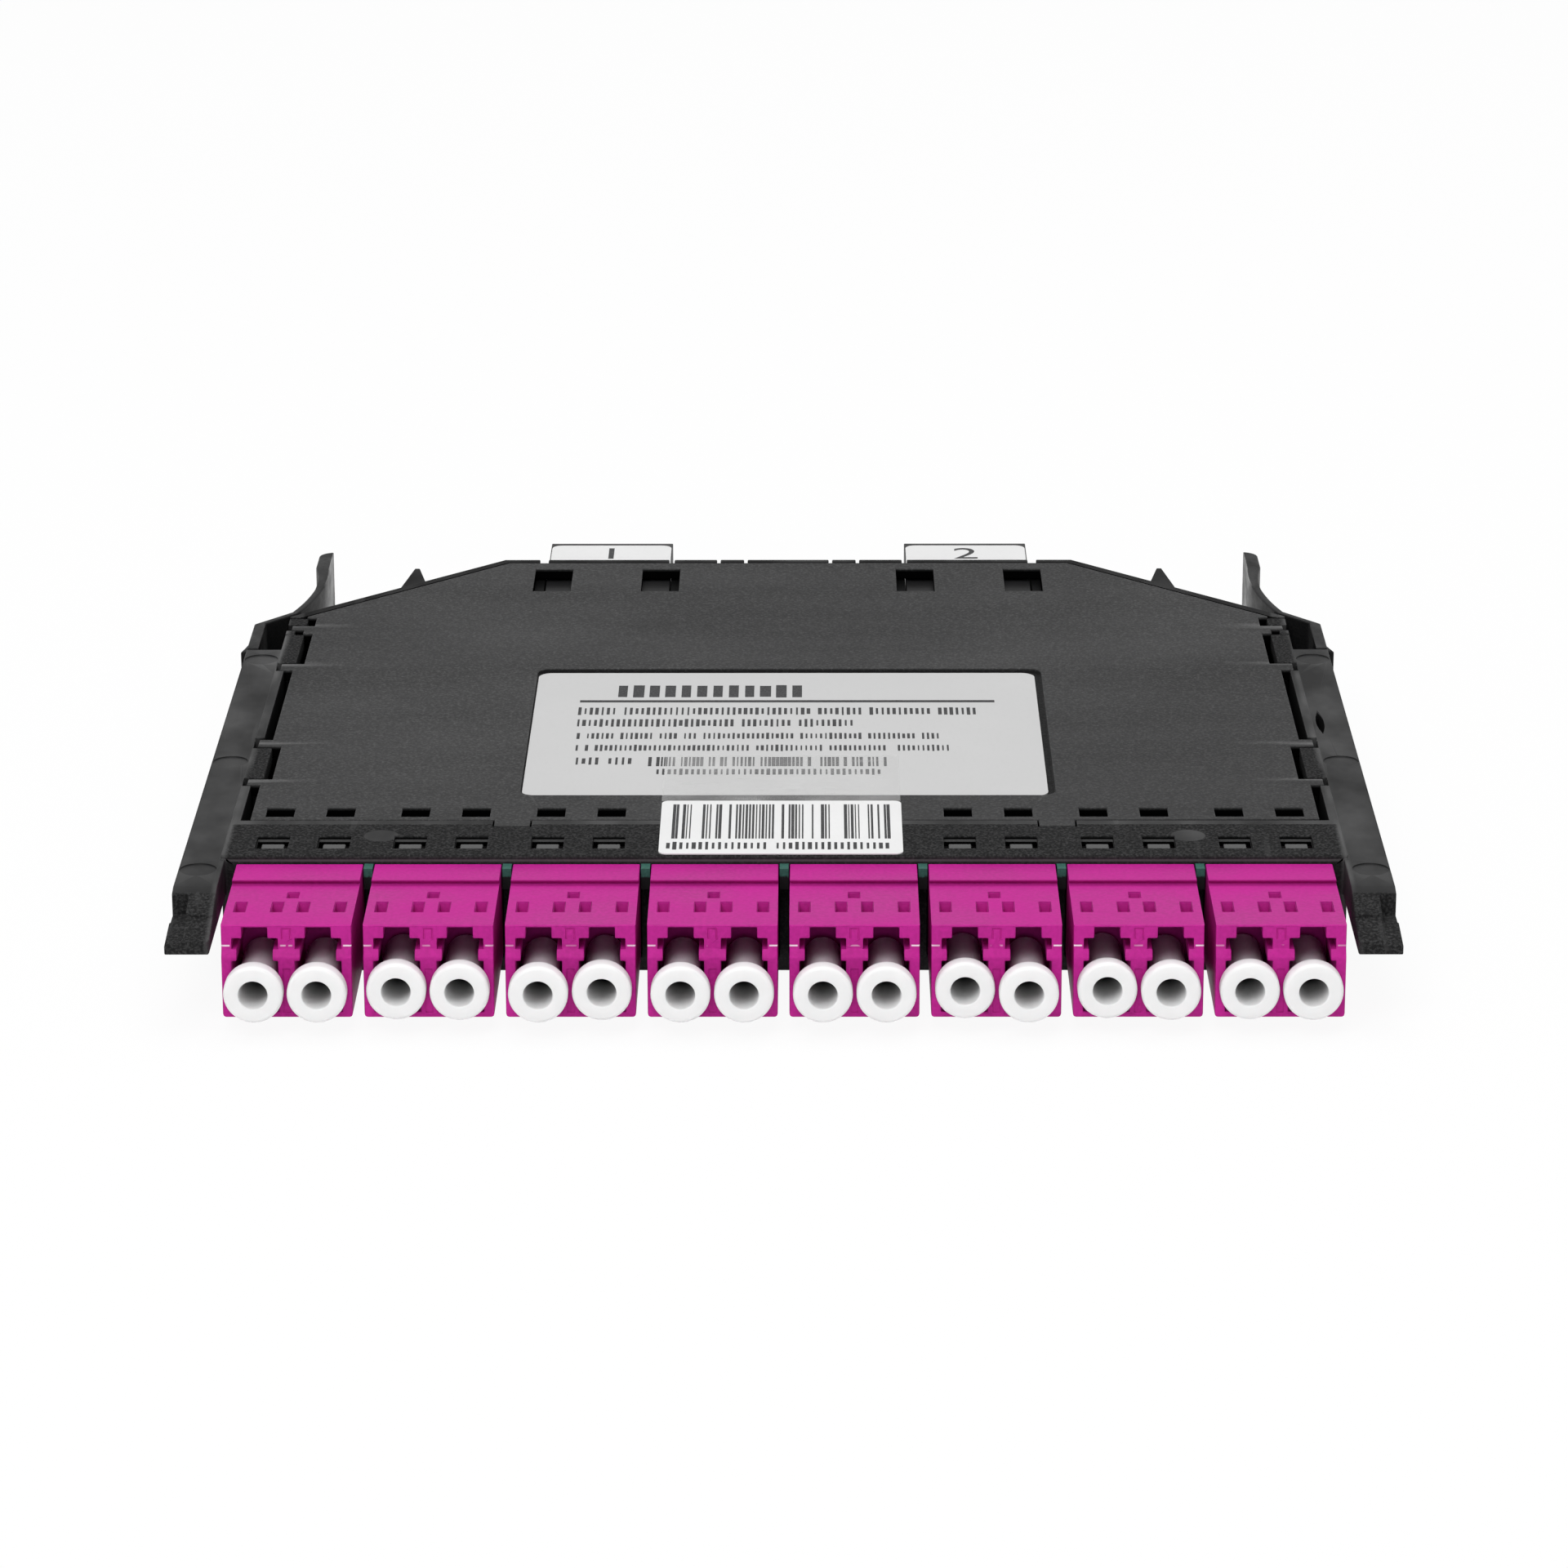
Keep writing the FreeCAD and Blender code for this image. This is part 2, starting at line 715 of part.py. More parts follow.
def build_adapter(number, place):
    body = new_body(f"adapter_{number}")
    bind(body, "Placement.Base.x", place)
    grow(body, "XZ", [rectangle(-adapter_half, adapter_half, adapter_bottom, adapter_top)],
         adapter_front, adapter_rear)
    # the raised band ahead of the housing's front wall, and the lower tail behind it
    grow(body, "XZ", [rectangle(-adapter_half, adapter_half, adapter_top - size.band_height,
                                adapter_top + size.band_height)],
         front - size.band_depth - size.band_gap, front - size.band_gap)
    # below the latch slots the front stands out, with a ramp above it
    ramp_top = adapter_top - size.lip_from_top
    grow(body, "YZ", [[(lip_front, adapter_bottom), (adapter_front, adapter_bottom),
                       (adapter_front, ramp_top), (lip_front, ramp_top - size.lip_ramp)]],
         -adapter_half, adapter_half)
    carve(body, "XZ", [rectangle(-adapter_half, adapter_half,
                                 adapter_top - size.adapter_tail_step, adapter_top)],
          front + size.wall, adapter_rear)
    # ports: square body, shoulders, latch space and latch slot, one above the other
    half_port = size.port_width / 2
    half_shoulder = size.shoulder_width / 2
    half_slot = size.slot_width / 2
    port_top = port_low + size.port_height
    shoulder_top = port_top + size.shoulder_height
    latch_top = shoulder_top + size.latch_height
    slot_top = latch_top + size.slot_height
    half_latch = size.latch_width / 2
    outline = [(-half_port, port_low), (half_port, port_low), (half_port, port_top),
               (half_shoulder, port_top), (half_shoulder, shoulder_top),
               (half_latch, shoulder_top), (half_latch, latch_top), (half_slot, latch_top),
               (half_slot, slot_top), (-half_slot, slot_top), (-half_slot, latch_top),
               (-half_latch, latch_top), (-half_latch, shoulder_top),
               (-half_shoulder, shoulder_top), (-half_shoulder, port_top),
               (-half_port, port_top)]
    shifted = [[(across + side * half_port_pitch, along) for across, along in outline]
               for side in SIDES.values()]
    carve(body, "XZ", shifted, lip_front, adapter_front + size.port_depth)
    carve(body, "XZ", both_ports(-half_port, half_port, port_low, port_top),
          adapter_rear - size.port_depth, adapter_rear)
    # moulding dimples on the top
    half_dimple = size.dimple_width / 2
    dimple_front = adapter_front + size.dimple_from_front
    dimples = [rectangle(place - half_dimple, place + half_dimple,
                         dimple_front, dimple_front + size.dimple_length)
               for place in (-size.dimple_outer, -size.dimple_inner,
                             size.dimple_inner, size.dimple_outer)]
    centre_front = adapter_front + size.centre_dimple_from_front
    dimples.append(rectangle(-half_dimple, half_dimple, centre_front,
                             centre_front + size.centre_dimple_length))
    carve(body, "XY", dimples, adapter_top - size.dimple_depth, adapter_top)
    # a shallow groove on the divider between the ports
    groove_low = adapter_bottom + size.groove_from_bottom
    carve(body, "XZ", [rectangle(-size.groove_width / 2, size.groove_width / 2,
                                 groove_low, groove_low + size.groove_height)],
          lip_front, lip_front + size.groove_depth)
    keep_node(f"lc_adapter_{number}", body)


# ---------------------------------------------------------------- dust caps

# How each cap sits, from the left: blank where it stands out most, and else how far it is pushed in.
CAP_SEATS = ("", "", "middle", "shallow", "", "shallow", "", "",
             "", "", "deep", "", "deep", "shallow", "middle", "shallow")


def build_dust_cap(number, place, seat):
    body = new_body(f"cap_{number}")
    flange_rear = lip_front - size.cap_stand_off
    flange_front = flange_rear - size.cap_flange_thickness
    stem_rear = adapter_front + size.cap_insertion
    bore_rear = flange_front + size.cap_bore_depth
    revolve(body, [
        (flange_front, size.cap_bore_radius), (flange_front, size.cap_flange_radius),
        (flange_rear, size.cap_flange_radius), (flange_rear, size.cap_stem_radius),
        (stem_rear, size.cap_stem_radius), (stem_rear, 0),
        (bore_rear, 0), (bore_rear, size.cap_bore_radius)], 0, port_axis)
    bind(body, "Placement.Base.x", place)
    if seat:
        bind(body, "Placement.Base.y", getattr(size, f"cap_seat_{seat}"))
    keep_node(f"dust_cap_{number}", body)


# ---------------------------------------------------------------- multi-fibre adapters


def build_multi(side_name, side):
    middle = side * size.multi_spacing / 2
    half = size.multi_width / 2
    half_port = size.multi_port_width / 2
    half_key = size.multi_key_width / 2
    port_floor = multi_bottom + (size.multi_height - size.multi_port_height) / 2
    port_top = port_floor + size.multi_port_height
    body = new_body(f"multi_{side_name}")
    bind(body, "Placement.Base.x", middle)
    grow(body, "XZ", [rectangle(-half, half, multi_bottom, multi_top)], multi_front, multi_rear)
    for low, high in ((multi_rear - size.multi_port_depth, multi_rear),
                      (multi_front, multi_front + size.multi_port_depth)):
        carve(body, "XZ", [[(-half_port, port_floor), (half_port, port_floor),
                            (half_port, port_top), (half_key, port_top),
                            (half_key, port_top + size.multi_key_height),
                            (-half_key, port_top + size.multi_key_height),
                            (-half_key, port_top), (-half_port, port_top)]], low, high)
    keep_node(f"mpo_adapter_{side_name}", body)

    gap = size.multi_cap_gap
    cap = new_body(f"multi_cap_{side_name}")
    bind(cap, "Placement.Base.x", middle)
    grow(cap, "XZ", [rectangle(-half_port + gap, half_port - gap, port_floor + gap,
                               port_top - gap)],
         multi_rear - size.multi_cap_plug, multi_rear + gap)
    grow(cap, "XZ", [rectangle(-half_port - gap, half_port + gap, port_floor - gap,
                               port_top - 2 * gap)],
         multi_rear + gap, multi_rear + size.multi_cap_reach)
    keep_node(f"mpo_cap_{side_name}", cap)

    plug = new_body(f"multi_plug_{side_name}")
    bind(plug, "Placement.Base.x", middle)
    plug_rear = multi_front + size.multi_plug_insertion
    grow(plug, "XZ", [rectangle(-half_port + gap, half_port - gap, port_floor + gap,
                                port_top - gap)],
         plug_rear - size.multi_plug_length, plug_rear)
    keep_node(f"inner_mpo_plug_{side_name}", plug)


# ---------------------------------------------------------------- release levers


def build_lever(side_name, side):
    body = new_body(f"lever_{side_name}")
    root = rail_rear + size.lever_gap

    def at(inward, along):
        return rail_outer - inward, root + along

    tip_inner = size.lever_pad_in + size.lever_pad
    outline = [
        at(0, 0), at(0, size.lever_elbow),
        at(size.lever_knee_in, size.lever_knee_along), Bend(size.lever_sweep_radius, -1),
        at(size.lever_neck_in, size.lever_neck_along), Bend(size.lever_hollow_radius, -1),
        at(size.lever_pad_in, size.lever_pad_along),
        at(size.lever_pad_in, size.lever_reach - size.lever_pad), Bend(size.lever_tip_radius),
        at(tip_inner, size.lever_reach), at(tip_inner, size.lever_pad_along),
        Bend(size.lever_hollow_radius + size.lever_arm),
        at(size.lever_neck_in + size.lever_arm, size.lever_neck_along),
        Bend(size.lever_sweep_radius + size.lever_arm),
        at(size.lever_inner_knee_in, size.lever_inner_knee_along),
        at(size.lever_strip, size.lever_inner_elbow), at(size.lever_strip, 0)]
    tooth_end = size.tooth_start + size.tooth_length
    tooth = [at(size.tooth_root, size.tooth_start), at(-size.tooth_reach, size.tooth_start),
             at(0, tooth_end), at(size.tooth_root, tooth_end)]
    if side < 0:
        outline, tooth = mirrored(outline), mirrored(tooth)
    grow(body, "XY", [outline], size.lever_bottom, size.lever_top)
    grow(body, "XY", [tooth], size.tooth_top - size.tooth_height, size.tooth_top)
    keep_node(f"release_lever_{side_name}", body)


# ---------------------------------------------------------------- labels


def build_label(name, across, width, low, depth, under, radius=None):
    """A paper label, with round corners where their radius is given."""
    body = new_body(f"{name}_sheet")
    edges = (across - width / 2, across + width / 2, low, low + depth)
    outline = rounded_rectangle(*edges, radius) if radius else rectangle(*edges)
    grow(body, "XY", [outline], under, under + size.label_thickness)
    keep_node(name, body)


# ---------------------------------------------------------------- pieces in groups


def group(name, pieces):
    together = doc.addObject("Part::Compound", f"{name}_group")
    together.Links = pieces
    keep_node(name, together)


def box(name, left, right, low, high, under, over):
    """A plain block between six sizes."""
    piece = doc.addObject("Part::Box", name)
    bind(piece, "Length", Size.of(right) - left)
    bind(piece, "Width", Size.of(high) - low)
    bind(piece, "Height", Size.of(over) - under)
    bind(piece, "Placement.Base.x", left)
    bind(piece, "Placement.Base.y", low)
    bind(piece, "Placement.Base.z", under)
    return piece


def build_spacers():
    pieces = []
    for index in range(1, ADAPTERS):
        middle = first_adapter + adapter_pitch * index - adapter_pitch / 2
        pieces.append(box(f"spacer_{index}", middle - size.spacer_width / 2,
                          middle + size.spacer_width / 2, front - size.spacer_depth, front,
                          adapter_top + size.band_height - size.spacer_height,
                          adapter_top + size.band_height))
    group("adapter_spacers", pieces)


def port_places():
    return [first_adapter + adapter_pitch * index + side * half_port_pitch
            for index in range(ADAPTERS) for side in SIDES.values()]


def build_inner_plugs():
    pieces = []
    under = port_low + (size.port_height - size.plug_height) / 2
    plug_front = adapter_rear - size.plug_insertion
    for index, place in enumerate(port_places()):
        pieces.append(box(f"inner_plug_{index}", place - size.plug_width / 2,
                          place + size.plug_width / 2, plug_front,
                          plug_front + size.plug_length, under, under + size.plug_height))
    group("inner_lc_plugs", pieces)


def build_fibre_fan(side_name, side):
    """The fibres of one multi-fibre plug, spread over the floor to its four adapters."""
    body = new_body(f"fan_{side_name}")
    middle = side * size.multi_spacing / 2
    fan_rear = multi_front + size.multi_plug_insertion - size.multi_plug_length
    fan_front = adapter_rear - size.plug_insertion + size.plug_length
    near, far = adapter_pitch / 2, adapter_pitch * 3.5
    half = size.fibre_width / 2
    edge_near = side * (near - half_port_pitch - half)
    edge_far = side * (far + half_port_pitch + half)
    grow(body, "XY", [[(middle - side * half, fan_rear), (edge_near, fan_front),
                       (edge_far, fan_front), (middle + side * half, fan_rear)]],
         size.floor, size.floor + size.fibre_thickness)
    keep_node(f"fibre_fan_{side_name}", body)


# ---------------------------------------------------------------- assembly

build_base()
build_cover()
for index in range(ADAPTERS):
    build_adapter(index + 1, first_adapter + adapter_pitch * index)
for index, place in enumerate(port_places()):
    build_dust_cap(index + 1, place, CAP_SEATS[index])
build_spacers()
for side_name, side in SIDES.items():
    build_multi(side_name, side)
    build_lever(side_name, side)
    build_fibre_fan(side_name, side)
    build_label(f"port_tag_{side_name}", side * size.multi_spacing / 2, size.tag_width,
                rear + size.cover_gap, size.tag_depth, multi_top)
build_inner_plugs()
build_label("main_label", Size.of(0), size.label_width, front + size.label_from_front,
            size.label_depth, top - size.recess_depth, size.label_corner)
build_label("barcode_strip", size.strip_offset, size.strip_width, front + size.strip_from_front,
            size.strip_depth, top)

doc.recompute()

# ---------------------------------------------------------------- checks and export

for thing in doc.Objects:
    if "Invalid" in thing.State or "Error" in thing.State:
        raise RuntimeError(f"{thing.Name} failed: {thing.State}")
os.makedirs("parts", exist_ok=True)
for name, thing in NODES.items():
    if thing.Shape.isNull() or not thing.Shape.isValid():
        raise RuntimeError(f"{name} has no valid shape")
    thing.Shape.exportStep(f"parts/{name}.step")
print(f"{len(NODES)} nodes written")
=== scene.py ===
import math

import bmesh
import bpy
from mathutils import Matrix, Vector


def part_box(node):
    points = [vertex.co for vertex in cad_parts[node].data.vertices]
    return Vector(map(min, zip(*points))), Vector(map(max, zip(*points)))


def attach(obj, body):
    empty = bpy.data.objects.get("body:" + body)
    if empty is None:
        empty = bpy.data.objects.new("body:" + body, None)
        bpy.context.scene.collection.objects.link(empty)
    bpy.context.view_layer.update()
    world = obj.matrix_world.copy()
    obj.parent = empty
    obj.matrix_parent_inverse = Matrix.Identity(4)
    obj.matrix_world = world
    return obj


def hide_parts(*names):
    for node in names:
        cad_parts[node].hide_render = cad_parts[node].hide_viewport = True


# Looks of the fibre cassette: moulded black housing and cover, a row of magenta duplex adapters
# with white dust caps, paper labels with plain print, and a pale studio floor. Metres throughout.

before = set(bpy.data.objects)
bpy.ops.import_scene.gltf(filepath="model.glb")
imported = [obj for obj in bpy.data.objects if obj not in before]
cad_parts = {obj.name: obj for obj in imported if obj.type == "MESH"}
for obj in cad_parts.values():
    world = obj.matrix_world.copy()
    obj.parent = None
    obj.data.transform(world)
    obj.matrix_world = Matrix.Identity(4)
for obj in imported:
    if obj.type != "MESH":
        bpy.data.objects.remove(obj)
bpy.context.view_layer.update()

MM = 0.001
ROOT = "cassette"
ADAPTERS = range(1, 9)
CAPS = range(1, 17)
SIDES = ("left", "right")

base_low, base_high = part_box("base_housing")
cover_low, cover_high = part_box("cover")
adapter_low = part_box("lc_adapter_1")[0]
label_low, label_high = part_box("main_label")
strip_low, strip_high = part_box("barcode_strip")
ROW_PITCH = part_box("lc_adapter_2")[0].x - adapter_low.x
WALL_FRONT = -base_high.y

# ---------------------------------------------------------------- materials


class Finish:
    """A moulded, printed or filmed surface, built from noise in the piece's own coordinates."""

    def __init__(self, name):
        self.material = bpy.data.materials.new(name)
        self.material.use_nodes = True
        self.tree = self.material.node_tree
        self.shader = self.tree.nodes["Principled BSDF"]
        self.place = self.add("ShaderNodeTexCoord").outputs["Object"]
        self.plan = None

    def add(self, kind, **settings):
        node = self.tree.nodes.new(kind)
        for name, value in settings.items():
            setattr(node, name, value)
        return node

    def join(self, source, target):
        self.tree.links.new(source, target)

    def plain(self, **values):
        """Set sockets of the shader that are the same all over."""
        for name, value in values.items():
            self.shader.inputs[name.replace("_", " ")].default_value = value

    def noise(self, size, detail=2.0, stretch=(1, 1, 1), roughness=0.5):
        """Noise whose features are about one size across, in metres."""
        mapping = self.add("ShaderNodeMapping")
        mapping.inputs["Scale"].default_value = stretch
        self.join(self.place, mapping.inputs["Vector"])
        noise = self.add("ShaderNodeTexNoise")
        noise.inputs["Scale"].default_value = 1 / size
        noise.inputs["Detail"].default_value = detail
        noise.inputs["Roughness"].default_value = roughness
        self.join(mapping.outputs["Vector"], noise.inputs["Vector"])
        return noise.outputs["Fac"]

    def ramp(self, value, low, high, low_to=0.0, high_to=1.0):
        """Stretch one span of a value onto another, held at its ends."""
        remap = self.add("ShaderNodeMapRange")
        for name, number in (("From Min", low), ("From Max", high),
                             ("To Min", low_to), ("To Max", high_to)):
            remap.inputs[name].default_value = number
        self.join(value, remap.inputs["Value"])
        return remap.outputs["Result"]

    def blend(self, share, first, second):
        """Mix two colours, either of them plain or from a socket."""
        mix = self.add("ShaderNodeMix", data_type="RGBA")
        self.join(share, mix.inputs[0])
        for socket, colour in ((mix.inputs[6], first), (mix.inputs[7], second)):
            if isinstance(colour, tuple):
                socket.default_value = (*colour, 1)
            else:
                self.join(colour, socket)
        return mix.outputs[2]

    def math(self, operation, first, second):
        node = self.add("ShaderNodeMath", operation=operation)
        for socket, value in zip(node.inputs, (first, second)):
            if isinstance(value, (int, float)):
                socket.default_value = value
            else:
                self.join(value, socket)
        return node.outputs[0]

    def across(self):
        """How far a point is from the middle, left or right alike, and how far back it is."""
        if not self.plan:
            parts = self.add("ShaderNodeSeparateXYZ")
            self.join(self.place, parts.inputs[0])
            self.sideways, self.height = parts.outputs[0], parts.outputs[2]
            self.plan = (self.math("ABSOLUTE", self.sideways, 0), parts.outputs[1])
        return self.plan

    def band(self, value, low, high, soft):
        """One between two values, fading to nothing outside them."""
        return self.math("MULTIPLY", self.ramp(value, low - soft, low + soft),
                         self.ramp(value, high - soft, high + soft, 1.0, 0.0))

    def line(self, value, middle, soft):
        """One at a value, fading to nothing on either side of it."""
        return self.ramp(self.math("ABSOLUTE", self.math("SUBTRACT", value, middle), 0),
                         0, soft, 1, 0)

    def patch(self, left, right, low, high, soft=0.15 * MM):
        """One inside an area seen from above, on both sides of the middle."""
        side, back = self.across()
        return self.math("MULTIPLY", self.band(side, left, right, soft),
                         self.band(back, low, high, soft))

    def disc(self, across, along, radius, soft=0.1 * MM, both=True):
        """One inside a round spot seen from above, on both sides of the middle or on one."""
        side, back = self.across()
        if not both:
            side = self.sideways
        far = self.math("SQRT", self.math(
            "ADD", self.math("POWER", self.math("SUBTRACT", side, across), 2),
            self.math("POWER", self.math("SUBTRACT", back, along), 2)), 0)
        return self.ramp(far, radius - soft, radius + soft, 1.0, 0.0)

    def any_of(self, masks):
        """One where any of the masks is one."""
        total = masks[0]
        for mask in masks[1:]:
            total = self.math("MAXIMUM", total, mask)
        return total

    def colour(self, socket):
        self.join(socket, self.shader.inputs["Base Color"])

    def gloss(self, socket):
        self.join(socket, self.shader.inputs["Roughness"])

    def relief(self, *heights):
        """Stack bumps given as (height, depth in metres)."""
        normal = None
        for height, depth in heights:
            bump = self.add("ShaderNodeBump")
            bump.inputs["Distance"].default_value = depth
            bump.inputs["Strength"].default_value = 1.0
            self.join(height, bump.inputs["Height"])
            if normal:
                self.join(normal, bump.inputs["Normal"])
            normal = bump.outputs["Normal"]
        self.join(normal, self.shader.inputs["Normal"])


def scaled(colour, factor):
    return tuple(channel * factor for channel in colour)


def paler(colour, step):
    return tuple(channel + step for channel in colour)


def moulded(name, colour, grain, grain_depth, roughness, specular, streak=(1, 1, 1), marks=None):
    """Injection-moulded plastic: spark-eroded grain and slow flow marks, then marks of its own."""
    finish = Finish(name)
    finish.plain(Specular_IOR_Level=specular)
    fine = finish.noise(grain, detail=3.0)
    flow = finish.noise(9 * MM, detail=2.0, stretch=streak)
    tone = finish.blend(finish.ramp(flow, 0.3, 0.7), scaled(colour, 0.9), scaled(colour, 1.1))
    tone = finish.blend(finish.ramp(fine, 0.35, 0.7, 0.0, 0.55), tone, scaled(colour, 1.3))
    if marks:
        tone = marks(finish, tone, colour)
    finish.colour(tone)
    finish.gloss(finish.ramp(flow, 0.25, 0.75, roughness - 0.06, roughness + 0.08))
    finish.relief((fine, grain_depth), (flow, 0.06 * MM))
    return finish.material


CREASE_HEIGHT = 8.96 * MM
CREASE_HALF = 0.07 * MM
CREASE_REACH = 0.62 * MM
CREASE_GLINT_COLOUR = (0.95, 0.82, 0.9)
OUTER_WALL = 5.6 * MM
DIVIDER_HALF = 0.6 * MM
BAND_REACH = 5.0 * MM
BAND_SHADE_OFFSET, BAND_SHADE_WIDTH = 0.25 * MM, 0.55 * MM
BEHIND_WALL_SHADE = (WALL_FRONT + 0.05 * MM, WALL_FRONT + 0.3 * MM)
SOFT = 0.05 * MM


def adapter_painted_light(finish, tone, colour):
    """Painted glints along the crease beside the ports, painted shade under the band, and painted
    shade behind the wall.
    """
    side, back = finish.across()
    # Painted glints on the crease beside the ports: on the outer walls, and in broken spots on the
    # divider.
    line = finish.math(
        "MULTIPLY", finish.band(back, adapter_low.y - MM, adapter_low.y + CREASE_REACH, SOFT),
        finish.band(finish.height, CREASE_HEIGHT - CREASE_HALF, CREASE_HEIGHT + CREASE_HALF, SOFT))
    from_middle = finish.math("ABSOLUTE", finish.math("SUBTRACT", finish.math(
        "MODULO", side, ROW_PITCH), ROW_PITCH / 2), 0)
    wall = finish.ramp(from_middle, OUTER_WALL - SOFT, OUTER_WALL + SOFT)
    divider = finish.ramp(from_middle, DIVIDER_HALF - SOFT, DIVIDER_HALF + SOFT, 0.6, 0)
    broken = finish.ramp(finish.noise(0.6 * MM, detail=1.0), 0.45, 0.52)
    crease = finish.math("MULTIPLY", line, finish.math(
        "MAXIMUM", wall, finish.math("MULTIPLY", divider, broken)))
    uneven = finish.ramp(finish.noise(9 * MM, detail=0.0), 0.42, 0.55, 0.3, 1.0)
    tone = finish.blend(finish.math("MULTIPLY", crease, uneven), tone, CREASE_GLINT_COLOUR)
    # Painted shade along the foot of the band's front.
    foot = finish.line(back, WALL_FRONT - BAND_REACH - BAND_SHADE_OFFSET, BAND_SHADE_WIDTH)
    tone = finish.blend(finish.math("MULTIPLY", foot, 0.55), tone, scaled(colour, 0.3))
    # Painted shade on the adapters behind the front wall.
    return finish.blend(finish.ramp(back, *BEHIND_WALL_SHADE), tone, scaled(colour, 0.04))


# Areas of the housing seen from above: from and to across, then from and to along.
BAR_AREA = (-1.0, 56.6 * MM, WALL_FRONT, cover_low.y + 0.5 * MM)
ROUGH_AREAS = (
    BAR_AREA,
    (54.5 * MM, 56.7 * MM, WALL_FRONT + 24.6 * MM, WALL_FRONT + 35.5 * MM),
    (54.5 * MM, 56.7 * MM, WALL_FRONT + 65.1 * MM, WALL_FRONT + 82.7 * MM),
    (55.0 * MM, 70.0 * MM, base_low.y - MM, base_low.y + 8.4 * MM),
)
WINDOW_AREA = (*BAR_AREA[:2], BAR_AREA[2] + 0.6 * MM, BAR_AREA[3])
# The tray and the rear are areas painted in shade.
TRAY_AREA = (-1.0, 55.5 * MM, -52.0 * MM, 50.5 * MM)
REAR_AREA = (-1.0, 55.5 * MM, 30.0 * MM, 100.0 * MM)
# Smooth round spots on the bar: across, along, radius.
BAR_SPOTS = ((41.2 * MM, WALL_FRONT + 6.2 * MM, 1.8 * MM),)
# Spans of height, and for the ridge of distance from the middle, over which shade, light on the
# shelves and a highlight along the ridge are painted.
TRAY_SHADE = (10.5 * MM, 11.2 * MM)
WINDOW_SHADE = (12.12 * MM, 12.28 * MM)
SHELF_HEIGHTS = (11.75 * MM, 12.0 * MM)
RAIL_RIDGE = (56.55 * MM, 56.9 * MM)


def housing_finish(name, colour):
    """Black moulding: smooth rails, with a coarse spark-eroded texture where it is handled, a
    painted highlight on the rail ridges, painted shade in the tray, the windows and the rear, and
    painted light on the window shelves.
    """
    finish = Finish(name)
    side, back = finish.across()
    rough = finish.any_of([finish.patch(*area) for area in ROUGH_AREAS])
    smooth_spots = finish.any_of([finish.disc(*spot) for spot in BAR_SPOTS])
    rough = finish.math("MULTIPLY", rough, finish.ramp(smooth_spots, 0, 1, 1, 0))
    tray = finish.math("MULTIPLY", finish.ramp(finish.height, *TRAY_SHADE, 1, 0),
                       finish.patch(*TRAY_AREA))
    window = finish.math("MULTIPLY", finish.patch(*WINDOW_AREA),
                         finish.ramp(finish.height, *WINDOW_SHADE, 1, 0))
    in_shade = finish.math("MAXIMUM", tray, window)
    rear_part = finish.patch(*REAR_AREA)
    shelf_light = finish.math("MULTIPLY", finish.band(finish.height, *SHELF_HEIGHTS, SOFT),
                        finish.patch(*BAR_AREA))

    spark = finish.noise(0.28 * MM, detail=3.0, roughness=0.6)
    fine = finish.noise(0.16 * MM, detail=2.0)
    blotch = finish.noise(6 * MM, detail=3.0, stretch=(1, 0.5, 1))
    ridge_highlight = finish.math("MULTIPLY", finish.band(side, *RAIL_RIDGE, 0.3 * MM),
                        finish.ramp(finish.noise(12 * MM, detail=2.0), 0.42, 0.62))
    scratch = finish.noise(1.6 * MM, detail=1.0, stretch=(0.9, 0.06, 1))

    tone = finish.blend(finish.ramp(blotch, 0.35, 0.68), scaled(colour, 0.6), scaled(colour, 1.3))
    tone = finish.blend(rough, tone, scaled(colour, 0.75))
    tone = finish.blend(finish.math("MULTIPLY", rough, finish.ramp(spark, 0.45, 0.7, 0.0, 0.9)),
                        tone, paler(colour, 0.034))
    # Painted highlight along the rails' inner ridge.
    tone = finish.blend(finish.math("MULTIPLY", ridge_highlight, 0.7), tone, paler(colour, 0.11))
    # Painted shade over the rear inside.
    tone = finish.blend(finish.math("MULTIPLY", rear_part, 0.75), tone, scaled(colour, 0.2))
    # Painted shade inside the tray and down the window walls.
    tone = finish.blend(in_shade, tone, scaled(colour, 0.08))
    tone = finish.blend(finish.ramp(scratch, 0.7, 0.74, 0.0, 0.35), tone, paler(colour, 0.04))
    # Painted light on the shelves seen through the windows.
    finish.colour(finish.blend(finish.math("MULTIPLY", shelf_light, 0.9), tone, paler(colour, 0.12)))

    finish.join(finish.math("MULTIPLY", finish.ramp(rear_part, 0, 1, 0.2, 0.05),
                            finish.ramp(in_shade, 0, 1, 1, 0)),
                finish.shader.inputs["Specular IOR Level"])
    pick = finish.add("ShaderNodeMix", data_type="FLOAT")
    finish.join(rough, pick.inputs[0])
    finish.join(finish.ramp(blotch, 0.3, 0.7, 0.62, 0.4), pick.inputs[2])
    finish.join(finish.ramp(spark, 0.35, 0.65, 0.95, 0.75), pick.inputs[3])
    finish.gloss(pick.outputs[0])
    finish.relief((finish.math("MULTIPLY", spark, rough), 0.07 * MM), (fine, 0.006 * MM),
                  (blotch, 0.16 * MM))
    return finish.material


# Where the cover's fingers start, how far in their flow marks begin and end, and a smudge:
# across, along, radius, softness, and whether it is on both sides.
FINGER_ROWS = (WALL_FRONT + 24.0 * MM, WALL_FRONT + 36.2 * MM, WALL_FRONT + 64.6 * MM,
               WALL_FRONT + 79.0 * MM)
FLOW_ENDS = (47.5 * MM, 56.5 * MM)
FLOW_WIDTH = 0.8 * MM
FLOW_SHADE_OFFSET = 1.3 * MM
COVER_EDGE_SHADE = (12.05 * MM, 12.28 * MM)
SMUDGE = (-15.2 * MM, 26.5 * MM, 2.2 * MM, 1.6 * MM, False)


